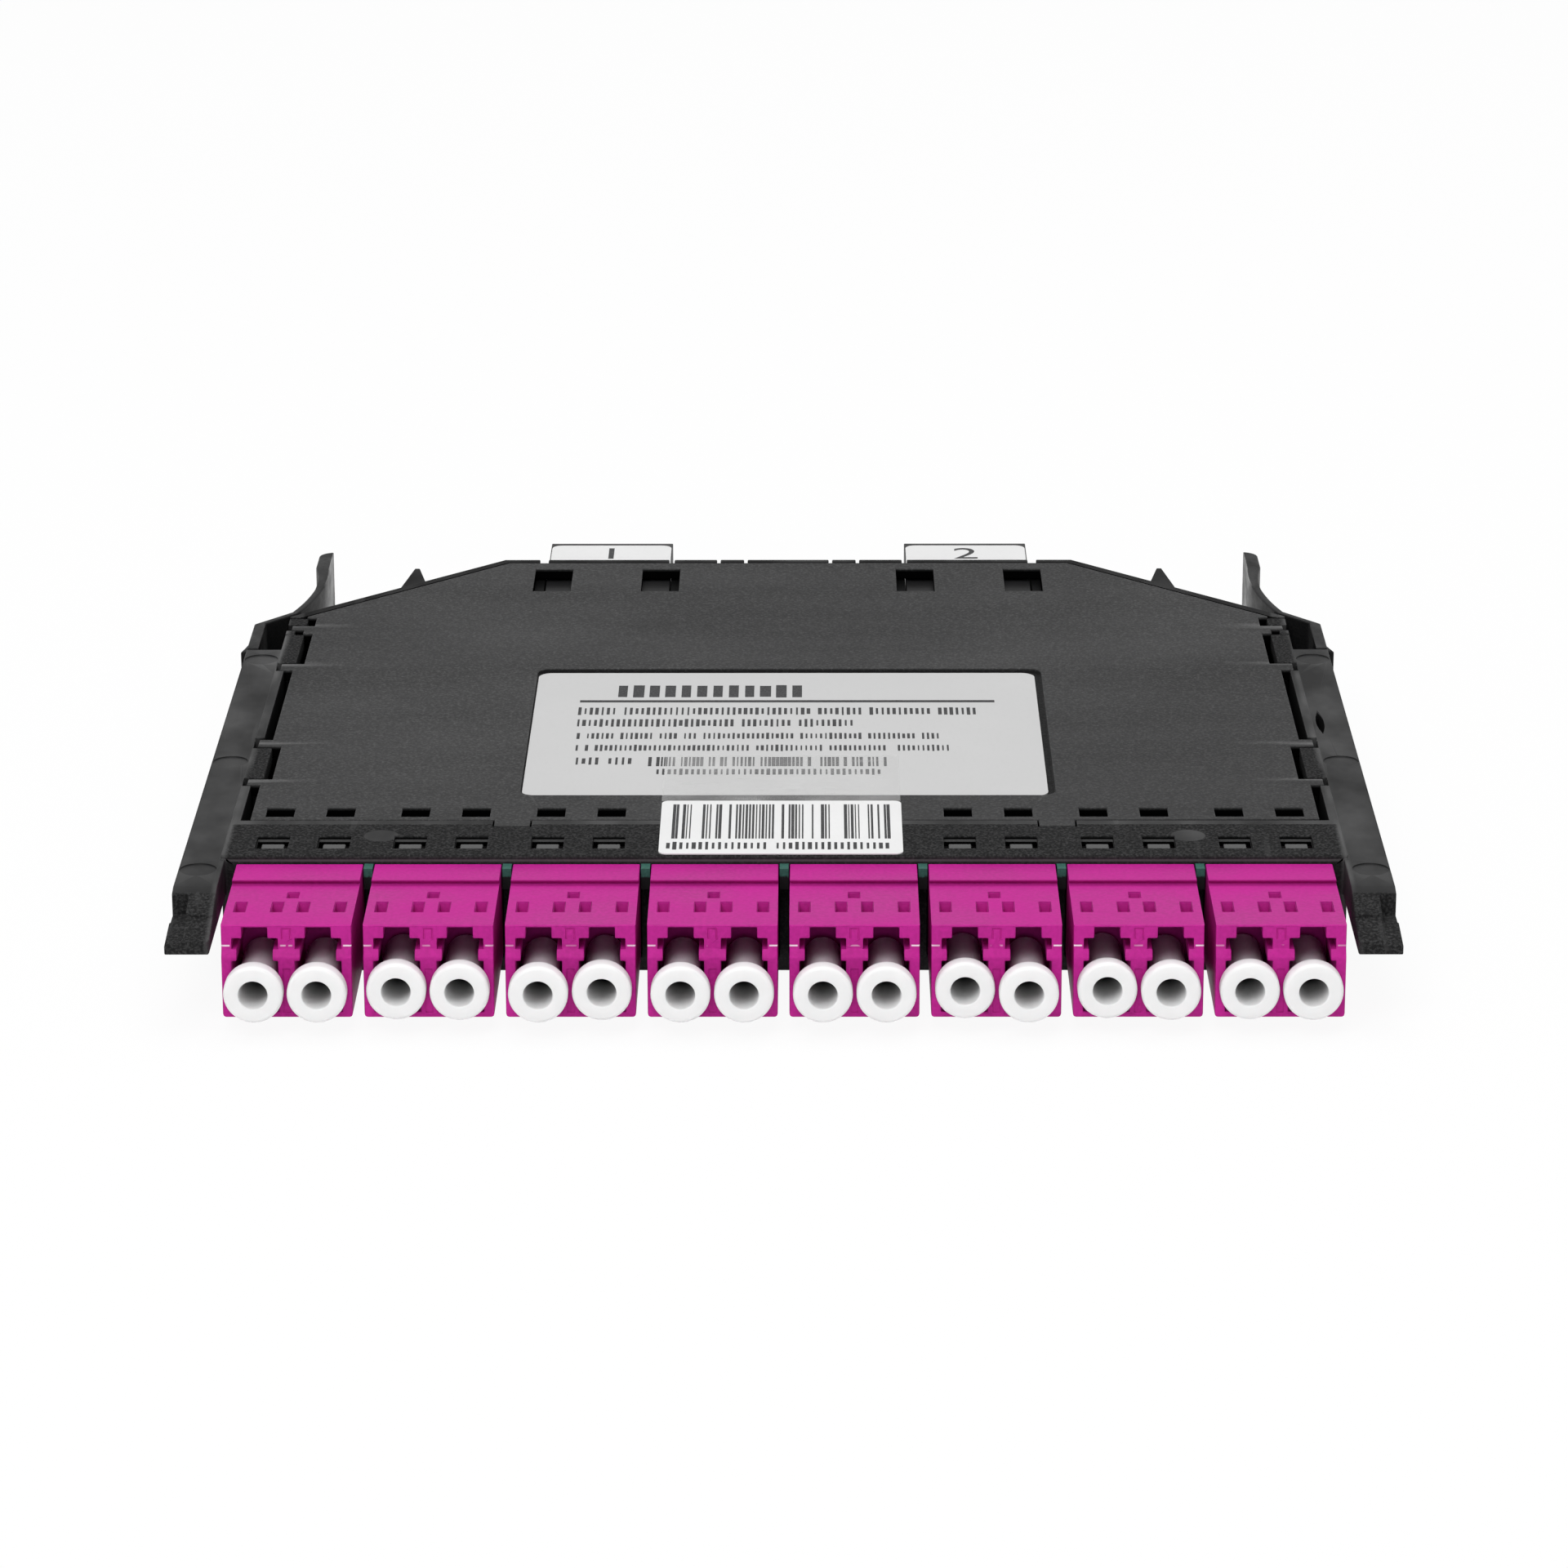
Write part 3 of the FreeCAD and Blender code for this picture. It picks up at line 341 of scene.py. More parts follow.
def cover_finish(name, colour):
    """Black sheet moulding: a fine even grain, with flow marks running in from its fingers, each
    with a painted highlight on it and painted shade beside it.
    """
    finish = Finish(name)
    side, back = finish.across()
    grain = finish.noise(0.3 * MM, detail=2.0, roughness=0.6)
    flow = finish.noise(12 * MM, detail=2.0, stretch=(0.2, 1, 1))
    swirl = finish.noise(30 * MM, detail=1.0)
    ripple = finish.noise(3.5 * MM, detail=1.0, stretch=(0.25, 1, 1))
    bent = finish.math("ADD", back, finish.ramp(ripple, 0.3, 0.7, -0.4 * MM, 0.4 * MM))
    near = finish.math("POWER", finish.ramp(side, *FLOW_ENDS), 1.6)
    flow_mark_and_highlight = finish.math("MULTIPLY", near, finish.any_of(
        [finish.line(bent, row, FLOW_WIDTH) for row in FINGER_ROWS]))
    shade = finish.math("MULTIPLY", near, finish.any_of(
        [finish.line(bent, row - FLOW_SHADE_OFFSET, FLOW_WIDTH) for row in FINGER_ROWS]))
    # Painted shade on the cover's edges below its top.
    edge = finish.ramp(finish.height, *COVER_EDGE_SHADE, 1, 0)

    tone = finish.blend(finish.ramp(flow, 0.35, 0.65), scaled(colour, 0.62), scaled(colour, 1.4))
    tone = finish.blend(finish.ramp(grain, 0.5, 0.72), tone, paler(colour, 0.024))
    # Painted highlight on each flow mark, and painted shade beside it.
    tone = finish.blend(flow_mark_and_highlight, tone, paler(colour, 0.1))
    tone = finish.blend(shade, tone, scaled(colour, 0.2))
    tone = finish.blend(finish.math("MULTIPLY", finish.disc(*SMUDGE), 0.5), tone,
                        scaled(colour, 0.3))
    finish.colour(finish.blend(edge, tone, scaled(colour, 0.1)))
    finish.join(finish.ramp(edge, 0, 1, 0.27, 0), finish.shader.inputs["Specular IOR Level"])
    finish.gloss(finish.math("ADD", finish.ramp(grain, 0.3, 0.7, 0.62, 0.5),
                             finish.ramp(swirl, 0.35, 0.65, -0.03, 0.03)))
    finish.relief((grain, 0.016 * MM), (flow, 0.12 * MM), (flow_mark_and_highlight, 0.2 * MM))
    return finish.material


def paper(name, colour):
    """Label stock with a faint fibre and a slight curl in its gloss."""
    finish = Finish(name)
    finish.plain(Specular_IOR_Level=0.3)
    fibre = finish.noise(0.4 * MM, detail=4.0, stretch=(1, 0.4, 1))
    cloud = finish.noise(12 * MM, detail=1.0)
    tone = finish.blend(finish.ramp(cloud, 0.3, 0.7), scaled(colour, 0.97), scaled(colour, 1.02))
    tone = finish.blend(finish.ramp(fibre, 0.5, 0.75, 0.0, 0.25), tone, scaled(colour, 0.92))
    finish.colour(tone)
    finish.gloss(finish.ramp(cloud, 0.3, 0.7, 0.42, 0.55))
    finish.relief((fibre, 0.004 * MM), (cloud, 0.05 * MM))
    return finish.material


def printed(name, colour):
    """Thermal print: dark, with small losses where the head skipped."""
    finish = Finish(name)
    finish.plain(Specular_IOR_Level=0.25)
    loss = finish.noise(0.25 * MM, detail=2.0)
    finish.colour(finish.blend(finish.ramp(loss, 0.66, 0.8, 0.0, 0.25), colour,
                               paler(colour, 0.2)))
    finish.gloss(finish.ramp(loss, 0.3, 0.7, 0.4, 0.6))
    finish.relief((loss, 0.003 * MM))
    return finish.material


# Where the pads' painted highlight starts and is full, and how far a face turns inward before it
# takes the painted highlight.
PAD_AREA = (43 * MM, 46 * MM)
PAD_FACING = (-0.7, -0.3)
PAD_HIGHLIGHT = (0.34, 0.34, 0.34)


def lever_finish(name, colour):
    """Black plastic, with the inner face of each finger pad painted a lighter grey as a highlight.
    """
    finish = Finish(name)
    finish.plain(Specular_IOR_Level=0.08)
    side, back = finish.across()
    fine = finish.noise(0.25 * MM, detail=3.0)
    cloud = finish.noise(2.5 * MM, detail=4.0, stretch=(1, 0.5, 1), roughness=0.65)
    facing = finish.add("ShaderNodeSeparateXYZ")
    finish.join(finish.add("ShaderNodeTexCoord").outputs["Normal"], facing.inputs[0])
    inward = finish.math("MULTIPLY", facing.outputs[0], finish.math("SIGN", finish.sideways, 0))
    pad = finish.math("MULTIPLY", finish.ramp(inward, *PAD_FACING, 1, 0),
                      finish.ramp(back, *PAD_AREA))
    # Painted highlight on the inner face of each pad.
    pad_highlight = finish.math("MULTIPLY", pad, finish.ramp(cloud, 0.3, 0.7, 0.35, 1.0))
    tone = finish.blend(finish.ramp(fine, 0.35, 0.7), colour, scaled(colour, 1.8))
    finish.colour(finish.blend(pad_highlight, tone, PAD_HIGHLIGHT))
    finish.gloss(finish.ramp(cloud, 0.3, 0.7, 0.55, 0.36))
    finish.relief((fine, 0.01 * MM), (cloud, 0.03 * MM))
    return finish.material


STEM_REFLECTION_COLOUR = (0.86, 0.78, 0.83)
# Shares of the bore's depth over which it darkens with painted shade, and of the stem's length
# that takes a painted pink reflection of the adapter.
BORE_SHADE = (0.04, 0.8)
STEM_REFLECTION_SPAN = (-0.6, -0.1)


def cap_finish(name, colour):
    """Soft white plastic, with painted shade down its bore and a painted pink reflection along its
    stem.
    """
    finish = Finish(name)
    finish.plain(Specular_IOR_Level=0.35, Subsurface_Weight=0.35, Subsurface_Scale=1.5 * MM,
                 Subsurface_Radius=(1.0, 0.9, 0.9))
    grain = finish.noise(1.2 * MM, detail=3.0)
    depth = finish.add("ShaderNodeAttribute", attribute_name="depth_inside").outputs["Fac"]
    tone = finish.blend(finish.ramp(grain, 0.3, 0.7), scaled(colour, 0.985), colour)
    # Painted shade deeper down the bore.
    tone = finish.blend(finish.ramp(depth, *BORE_SHADE), tone, scaled(colour, 0.03))
    # Painted pink reflection of the adapter along the stem.
    tone = finish.blend(finish.ramp(depth, *STEM_REFLECTION_SPAN, 1, 0), tone, STEM_REFLECTION_COLOUR)
    finish.colour(tone)
    finish.gloss(finish.ramp(grain, 0.25, 0.75, 0.33, 0.46))
    finish.relief((grain, 0.0015 * MM))
    return finish.material


def shaded_below_line(name, upper, lower, shade_line):
    """Plastic whose colour changes at one height, painted dark below it as shade, with a fine
    grain.
    """
    finish = Finish(name)
    finish.plain(Specular_IOR_Level=0.3)
    finish.across()
    grain = finish.noise(0.3 * MM, detail=3.0)
    soft = 0.1 * MM
    wavy = finish.math("ADD", finish.height, finish.ramp(grain, 0.3, 0.7, -soft, soft))
    tone = finish.blend(finish.ramp(grain, 0.35, 0.7), upper, scaled(upper, 1.4))
    # Below the line the spacer is painted dark as shade.
    finish.colour(finish.blend(finish.ramp(wavy, shade_line - soft, shade_line + soft), lower, tone))
    finish.gloss(finish.ramp(grain, 0.3, 0.7, 0.6, 0.45))
    finish.relief((grain, 0.01 * MM))
    return finish.material


def clear_film(name):
    """Thin clear tape: mostly see-through, with a little haze and a soft shine."""
    finish = Finish(name)
    finish.plain(Specular_IOR_Level=0.5, Roughness=0.2)
    haze = finish.noise(5 * MM, detail=3.0)
    crease = finish.noise(1.2 * MM, detail=4.0, stretch=(0.3, 1, 1))
    finish.colour(finish.blend(finish.ramp(haze, 0.3, 0.7), (0.75, 0.75, 0.75), (0.9, 0.9, 0.9)))
    cover = finish.math("ADD", finish.ramp(haze, 0.3, 0.7, 0.08, 0.16),
                        finish.ramp(crease, 0.62, 0.8, 0.0, 0.12))
    finish.join(cover, finish.shader.inputs["Alpha"])
    finish.relief((crease, 0.03 * MM))
    return finish.material


BLACK = (0.012, 0.012, 0.0124)
MAGENTA = (0.44, 0.016, 0.235)
SPACER_SHADE_LINE = 10.7 * MM

housing_plastic = housing_finish("housing_plastic", BLACK)
cover_plastic = cover_finish("cover_plastic", scaled(BLACK, 1.1))
lever_plastic = lever_finish("lever_plastic", scaled(BLACK, 0.6))
adapter_plastic = moulded("adapter_plastic", MAGENTA, 0.4 * MM, 0.003 * MM, 0.45, 0.1,
                          marks=adapter_painted_light)
cap_plastic = cap_finish("cap_plastic", (0.83, 0.83, 0.83))
connector_plastic = moulded("connector_plastic", (0.009, 0.009, 0.0094), 0.3 * MM, 0.01 * MM,
                            0.45, 0.25)
spacer_plastic = shaded_below_line("spacer_plastic", (0.03, 0.1, 0.08), (0.004, 0.006, 0.006), SPACER_SHADE_LINE)
plug_plastic = moulded("plug_plastic", (0.015, 0.015, 0.015), 0.3 * MM, 0.01 * MM, 0.5, 0.3)
fibre_coating = moulded("fibre_coating", (0.05, 0.32, 0.33), 0.6 * MM, 0.02 * MM, 0.4, 0.3,
                        streak=(1, 0.1, 1))
label_paper = paper("label_paper", (0.57, 0.57, 0.57))
strip_paper = paper("strip_paper", (0.8, 0.8, 0.8))
label_print = printed("label_print", (0.02, 0.02, 0.022))
tape_film = clear_film("tape_film")

# ---------------------------------------------------------------- making pieces

WELD = 0.001 * MM
CLOSE = 0.01 * MM


def put_in_scene(thing):
    bpy.context.scene.collection.objects.link(thing)
    return thing


def mesh_of(shape, name):
    """A drawn shape as a mesh; the drawing goes."""
    mesh = bpy.data.meshes.new(name)
    shape.to_mesh(mesh)
    shape.free()
    return mesh


def settled(holder, name):
    """The plain mesh that an object comes to once its modifiers have run; the object goes."""
    mesh = bpy.data.meshes.new_from_object(
        holder.evaluated_get(bpy.context.evaluated_depsgraph_get()))
    bpy.data.objects.remove(holder)
    mesh.name = name
    return mesh


def add_piece(name, mesh, material, body=ROOT, nodes=()):
    """Put a finished mesh in the scene as a piece of the object."""
    piece = put_in_scene(bpy.data.objects.new(name, mesh))
    mesh.materials.clear()
    mesh.materials.append(material)
    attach(piece, body)
    if nodes:
        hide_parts(*nodes)
    return piece


def welded(node):
    """A copy of a CAD node's mesh with its triangles joined at their corners."""
    shape = bmesh.new()
    shape.from_mesh(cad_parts[node].data)
    bmesh.ops.remove_doubles(shape, verts=shape.verts, dist=WELD)
    return shape


def room_beside(edge):
    """The shortest edge that leaves this one sideways, which is how far a bevel may reach."""
    along = (edge.verts[1].co - edge.verts[0].co).normalized()
    room = 1.0
    for corner in edge.verts:
        for other in corner.link_edges:
            if other is edge:
                continue
            away = other.other_vert(corner).co - corner.co
            slope = away.cross(along).length
            if slope > 0.5 * away.length:
                room = min(room, slope)
    return room


def prism(shape, outline, low, high, along="up"):
    """Add a closed prism over an outline: seen from above, from the front, or from the side."""
    def place(point, level):
        first, second = point
        return {"up": (first, second, level), "back": (first, level, second),
                "across": (level, first, second)}[along]

    floor = [shape.verts.new(place(point, low)) for point in outline]
    roof = [shape.verts.new(place(point, high)) for point in outline]
    shape.faces.new(list(reversed(floor)))
    shape.faces.new(roof)
    for index in range(len(outline)):
        ahead = (index + 1) % len(outline)
        shape.faces.new((floor[index], floor[ahead], roof[ahead], roof[index]))


def circle(across, along, radius, segments=48):
    """The outline of a round mark."""
    return [(across + radius * math.cos(turn * math.tau / segments),
             along + radius * math.sin(turn * math.tau / segments)) for turn in range(segments)]


def carved(shape, draw_cutters):
    """Take what the drawn cutters fill out of a shape."""
    cutters = bmesh.new()
    draw_cutters(cutters)
    bmesh.ops.recalc_face_normals(cutters, faces=cutters.faces)
    block, tool = (put_in_scene(bpy.data.objects.new("blank", mesh_of(form, "blank")))
                   for form in (shape, cutters))
    cut = block.modifiers.new("cut", "BOOLEAN")
    cut.operation = "DIFFERENCE"
    cut.solver = "EXACT"
    cut.object = tool
    result = bmesh.new()
    result.from_mesh(settled(block, "cut"))
    bpy.data.objects.remove(tool)
    bmesh.ops.triangulate(result, faces=result.faces)
    bmesh.ops.remove_doubles(result, verts=result.verts, dist=WELD)
    return result


# Degrees between two faces, and how much of the room beside an edge its rounding may take.
SHARP = 30
SHARE_OF_ROOM = 0.4
WIDE_SHARE_OF_ROOM = 0.8


def eased(name, node, width, wide=None, draw_cutters=None):
    """A CAD node's mesh with its sharp edges rounded, less where there is little room."""
    shape = welded(node)
    if draw_cutters:
        shape = carved(shape, draw_cutters)
    weight = shape.edges.layers.float.new("bevel_weight_edge")
    wanted = {}
    for edge in shape.edges:
        if len(edge.link_faces) == 2 and edge.calc_face_angle(0) > math.radians(SHARP):
            own = wide(edge) if wide else None
            share = WIDE_SHARE_OF_ROOM if own else SHARE_OF_ROOM
            wanted[edge] = min(own or width, share * room_beside(edge))
    widest = max(wanted.values())
    for edge, reach in wanted.items():
        edge[weight] = reach / widest
    return finished(mesh_of(shape, name), name, widest)


def finished(mesh, name, width):
    """Run the bevel over a mesh, keep its flat faces flat, and give back the plain result."""
    mesh.shade_smooth()
    holder = put_in_scene(bpy.data.objects.new(name + "_blank", mesh))
    bevel = holder.modifiers.new("ease", "BEVEL")
    bevel.limit_method = "WEIGHT"
    bevel.width = width
    bevel.segments = 3
    bevel.use_clamp_overlap = False
    bevel.loop_slide = False
    bevel.face_strength_mode = "FSTR_ALL"
    flatten = holder.modifiers.new("flatten", "WEIGHTED_NORMAL")
    flatten.use_face_influence = True
    return settled(holder, name)


def ease_node(piece_name, node, width, material, body=ROOT, wide=None, cutters=None):
    """Replace a CAD node by its own form with rounded edges and finer carving."""
    return add_piece(piece_name, eased(piece_name, node, width, wide, cutters), material,
                     body, [node])


def dress(node, material):
    """Give a CAD node that stays as it is its material."""
    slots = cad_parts[node].material_slots
    if slots:
        for holder in slots:
            holder.material = material
    else:
        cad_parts[node].data.materials.append(material)


LATHE_SHARP = 50


def lathe(name, profile, centre, segments=48):
    """A turned piece about an axis parallel to Y through a centre, from (radius, along) pairs."""
    shape = bmesh.new()
    rings = []
    for radius, along in profile:
        if radius == 0:
            rings.append([shape.verts.new((centre.x, along, centre.z))])
            continue
        rings.append([shape.verts.new((
            centre.x + radius * math.cos(turn * math.tau / segments), along,
            centre.z + radius * math.sin(turn * math.tau / segments)))
            for turn in range(segments)])
    for first, second in zip(rings, rings[1:]):
        for turn in range(segments):
            ahead = (turn + 1) % segments
            corners = [first[turn % len(first)], first[ahead % len(first)],
                       second[ahead % len(second)], second[turn % len(second)]]
            shape.faces.new(list(dict.fromkeys(corners)))
    bmesh.ops.recalc_face_normals(shape, faces=shape.faces)
    mesh = mesh_of(shape, name)
    mesh.shade_smooth()
    mesh.set_sharp_from_angle(angle=math.radians(LATHE_SHARP))
    return mesh


def rounding(centre_radius, centre_along, radius, start, end, steps=4):
    """Profile points of a rounded corner between two angles in degrees."""
    turns = [math.radians(start + (end - start) * step / steps) for step in range(steps + 1)]
    return [(centre_radius + radius * math.cos(turn), centre_along + radius * math.sin(turn))
            for turn in turns]


# ---------------------------------------------------------------- dust caps

CAP_BORE = 1.45 * MM
CAP_STEM = 1.85 * MM
CAP_DISC = 1.7 * MM
CAP_BORE_DEPTH = 9.0 * MM
CAP_EDGE = 0.4 * MM
CAP_LIP = 0.12 * MM
CAP_TIP = 0.3 * MM


def make_cap(number):
    """A dust cap with a rounded disc, a bore and a stem, marked with how deep each part lies."""
    node = f"dust_cap_{number}"
    low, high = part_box(node)
    centre = (low + high) / 2
    disc = (high.x - low.x) / 2
    front, rear = low.y, high.y
    disc_rear, bore_end = front + CAP_DISC, front + CAP_BORE_DEPTH
    lip = CAP_LIP
    profile = [(0, bore_end), (CAP_BORE * 0.75, bore_end), (CAP_BORE * 0.95, bore_end - CAP_TIP)]
    profile += rounding(CAP_BORE + lip, front + lip, lip, 180, 270)
    profile += rounding(disc - CAP_EDGE, front + CAP_EDGE, CAP_EDGE, 270, 360, 6)
    profile += rounding(disc - lip, disc_rear - lip, lip, 0, 90)
    profile += rounding(CAP_STEM + 2 * lip, disc_rear + 2 * lip, 2 * lip, 270, 180)
    profile += rounding(CAP_STEM - CAP_TIP, rear - CAP_TIP, CAP_TIP, 0, 90)
    profile += [(0, rear)]
    mesh = lathe(f"cap_{number}", profile, centre)
    depths = mesh.attributes.new("depth_inside", "FLOAT", "POINT")
    for point, record in zip(mesh.vertices, depths.data):
        radius = math.hypot(point.co.x - centre.x, point.co.z - centre.z)
        if radius <= CAP_BORE + CLOSE and point.co.y <= bore_end + CLOSE:
            record.value = (point.co.y - front) / CAP_BORE_DEPTH
        elif point.co.y > disc_rear:
            record.value = -(point.co.y - disc_rear) / (rear - disc_rear)
    add_piece(f"cap_{number}", mesh, cap_plastic, node, [node])


for number in CAPS:
    make_cap(number)

# ---------------------------------------------------------------- moulded pieces

RAIL_MARK_RADIUS = 1.85 * MM
RAIL_MARK_ACROSS = 59.0 * MM
RAIL_MARKS_ALONG = (-56.0 * MM, -21.6 * MM, 14.8 * MM)
RAIL_TOP = 12.0 * MM
RAIL_MARK_DEPTH = 0.13 * MM
GRIP_ROUNDING = 1.2 * MM
WALL_ROUNDING = 0.45 * MM
SMALL_ROUNDING = 0.12 * MM
NEAR = 0.1 * MM


def draw_rail_marks(shape):
    """Round ejector marks, sunk a little into the tops of both rails."""
    for side in (-1, 1):
        for along in RAIL_MARKS_ALONG:
            prism(shape, circle(side * RAIL_MARK_ACROSS, along, RAIL_MARK_RADIUS),
                  RAIL_TOP - RAIL_MARK_DEPTH, RAIL_TOP + MM)


def housing_corner(edge):
    """The grips' upright inner corners and the front wall's top edge are well rounded."""
    middle = (edge.verts[0].co + edge.verts[1].co) / 2
    run = (edge.verts[0].co - edge.verts[1].co).normalized()
    at_grip = middle.y < base_low.y + NEAR and abs(middle.x) < base_high.x - 2 * MM
    if abs(run.z) > 0.95 and at_grip:
        return GRIP_ROUNDING
    at_wall = abs(middle.y - WALL_FRONT) < NEAR and middle.z > base_high.z - NEAR
    if abs(run.x) > 0.99 and at_wall:
        return WALL_ROUNDING
    return None


BACK_STRIP = 2.4 * MM
BACK_START = 22 * MM
BACK_RUN = 20 * MM
BACK_BY = 0.22 * MM


def draw_back_corner(cover):
    """The cover's front edge stands back a little towards its right corner."""
    for point in cover.data.vertices:
        if point.co.y < cover_low.y + BACK_STRIP:
            share = min(1.0, max(0.0, (point.co.x - BACK_START) / BACK_RUN))
            point.co.y += BACK_BY * share * share * (3 - 2 * share)


ease_node("housing", "base_housing", SMALL_ROUNDING, housing_plastic,
          wide=housing_corner, cutters=draw_rail_marks)
draw_back_corner(ease_node("cover_plate", "cover", SMALL_ROUNDING, cover_plastic))

ARCH_WIDTH = 0.95 * MM
ARCH_HEIGHT = 1.15 * MM
ARCH_FROM_TOP = 0.75 * MM
ARCH_LINE = 0.15 * MM
ARCH_DEPTH = 0.12 * MM
ADAPTER_ROUNDING = 0.4 * MM
ADAPTER_EASE = 0.13 * MM
ADAPTER_LIP = 0.5 * MM
BAND_HEIGHT = 0.45 * MM
BAND_LIP = 0.12 * MM
COVE = 0.28 * MM
COVE_START = 0.02 * MM
DIMPLE_WIDTH = 1.05 * MM
DIMPLE_STEP = 0.01 * MM
DIMPLE_FLOOR = 1.75 * MM
# Each dimple: across from the middle, and its near and far edges from the upper front.
DIMPLES = tuple((across * MM, 3.9 * MM, 6.75 * MM) for across in (-4.95, -1.3, 1.3, 4.95)) + (
    (0.0, 8.0 * MM, 9.65 * MM),)


def make_adapter(number):
    """A duplex adapter with rounded corners and its fine marks."""
    node = f"lc_adapter_{number}"
    low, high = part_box(node)
    middle = (low.x + high.x) / 2
    upper_front = low.y + ADAPTER_LIP

    def draw_marks(shape):
        """The dimples' deep floors, an arch mark on the divider, and a cove under the band."""
        for across, near, far in DIMPLES:
            outline = [(middle + across + side * (DIMPLE_WIDTH / 2 - DIMPLE_STEP),
                        upper_front + along)
                       for side, along in ((-1, near + DIMPLE_STEP), (1, near + DIMPLE_STEP),
                                           (1, far - DIMPLE_STEP), (-1, far - DIMPLE_STEP))]
            prism(shape, outline, high.z - DIMPLE_FLOOR, high.z)
        half = ARCH_WIDTH / 2
        inner = half - ARCH_LINE
        top = high.z - ARCH_FROM_TOP
        foot = top - ARCH_HEIGHT
        outline = ((-half, foot), (-half, top), (half, top), (half, foot), (inner, foot),
                   (inner, top - ARCH_LINE), (-inner, top - ARCH_LINE), (-inner, foot))
        prism(shape, [(middle + across, up) for across, up in outline],
              upper_front - MM, upper_front + ARCH_DEPTH, along="back")
        band_front = WALL_FRONT - BAND_REACH
        foot, brow = high.z - BAND_HEIGHT + COVE_START, high.z - BAND_LIP
        prism(shape, ((band_front - MM, foot), (band_front + COVE, foot),
                      (band_front - COVE_START, brow), (band_front - MM, brow)),
              low.x - MM, high.x + MM, along="across")

    def outer_corner(edge):
        """The long corners of the body and the band are rounder than the rest."""
        first, second = edge.verts[0].co, edge.verts[1].co
        along = abs((first - second).normalized().y) > 0.99
        at_side = min(abs(first.x - low.x), abs(first.x - high.x)) < CLOSE
        at_end = min(abs(first.z - low.z), abs(first.z - high.z)) < CLOSE
        return ADAPTER_ROUNDING if along and at_side and at_end else None

    ease_node(f"adapter_{number}", node, ADAPTER_EASE, adapter_plastic,
              wide=outer_corner, cutters=draw_marks)


REAR_SEAMS = (3.2 * MM, 8.4 * MM)
SEAM_WIDTH = 0.25 * MM
RIB_PITCH = 1.3 * MM
RIB_SLOT = 0.55 * MM
RIB_DEPTH = 0.4 * MM
RIB_MARGIN = 0.9 * MM


def draw_rear_seams(shape, low, high):
    """Two shallow seams across the top and both sides of a rear adapter's outer half."""
    for from_rear in REAR_SEAMS:
        near, far = high.y - from_rear, high.y - from_rear + SEAM_WIDTH
        prism(shape, ((near, high.z - SEAM_WIDTH), (far, high.z - SEAM_WIDTH),
                      (far, high.z + MM), (near, high.z + MM)),
              low.x + 2 * SEAM_WIDTH, high.x - 2 * SEAM_WIDTH, along="across")
        for outer, inner in ((low.x - MM, low.x + SEAM_WIDTH),
                             (high.x - SEAM_WIDTH, high.x + MM)):
            prism(shape, ((outer, near), (inner, near), (inner, far), (outer, far)),
                  low.z + 2 * SEAM_WIDTH, high.z - 2 * SEAM_WIDTH)


def draw_grip_ribs(shape, low, high):
    """Upright slots across a rear cap's outer face, leaving ribs to grip."""
    middle = (low.x + high.x) / 2
    count = int((high.x - low.x - 2 * MM) / RIB_PITCH)
    for index in range(count):
        left = middle + (index - (count - 1) / 2) * RIB_PITCH - RIB_SLOT / 2
        prism(shape, ((left, high.y - RIB_DEPTH), (left + RIB_SLOT, high.y - RIB_DEPTH),
                      (left + RIB_SLOT, high.y + MM), (left, high.y + MM)),
              low.z + RIB_MARGIN, high.z - RIB_MARGIN)


for number in ADAPTERS:
    make_adapter(number)
for side in SIDES:
    ease_node(f"lever_{side}", f"release_lever_{side}", 0.2 * MM, lever_plastic,
              f"release_lever_{side}")
    rear_box, cap_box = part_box(f"mpo_adapter_{side}"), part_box(f"mpo_cap_{side}")
    ease_node(f"rear_adapter_{side}", f"mpo_adapter_{side}", 0.1 * MM, connector_plastic,
              cutters=lambda shape, box=rear_box: draw_rear_seams(shape, *box))
    ease_node(f"rear_cap_{side}", f"mpo_cap_{side}", 0.15 * MM, connector_plastic,
              f"mpo_cap_{side}",
              cutters=lambda shape, box=cap_box: draw_grip_ribs(shape, *box))
    dress(f"inner_mpo_plug_{side}", connector_plastic)
    dress(f"fibre_fan_{side}", fibre_coating)
dress("adapter_spacers", spacer_plastic)
dress("inner_lc_plugs", plug_plastic)
dress("main_label", label_paper)

# ---------------------------------------------------------------- print on the labels

PRINT_THICKNESS = 0.008 * MM


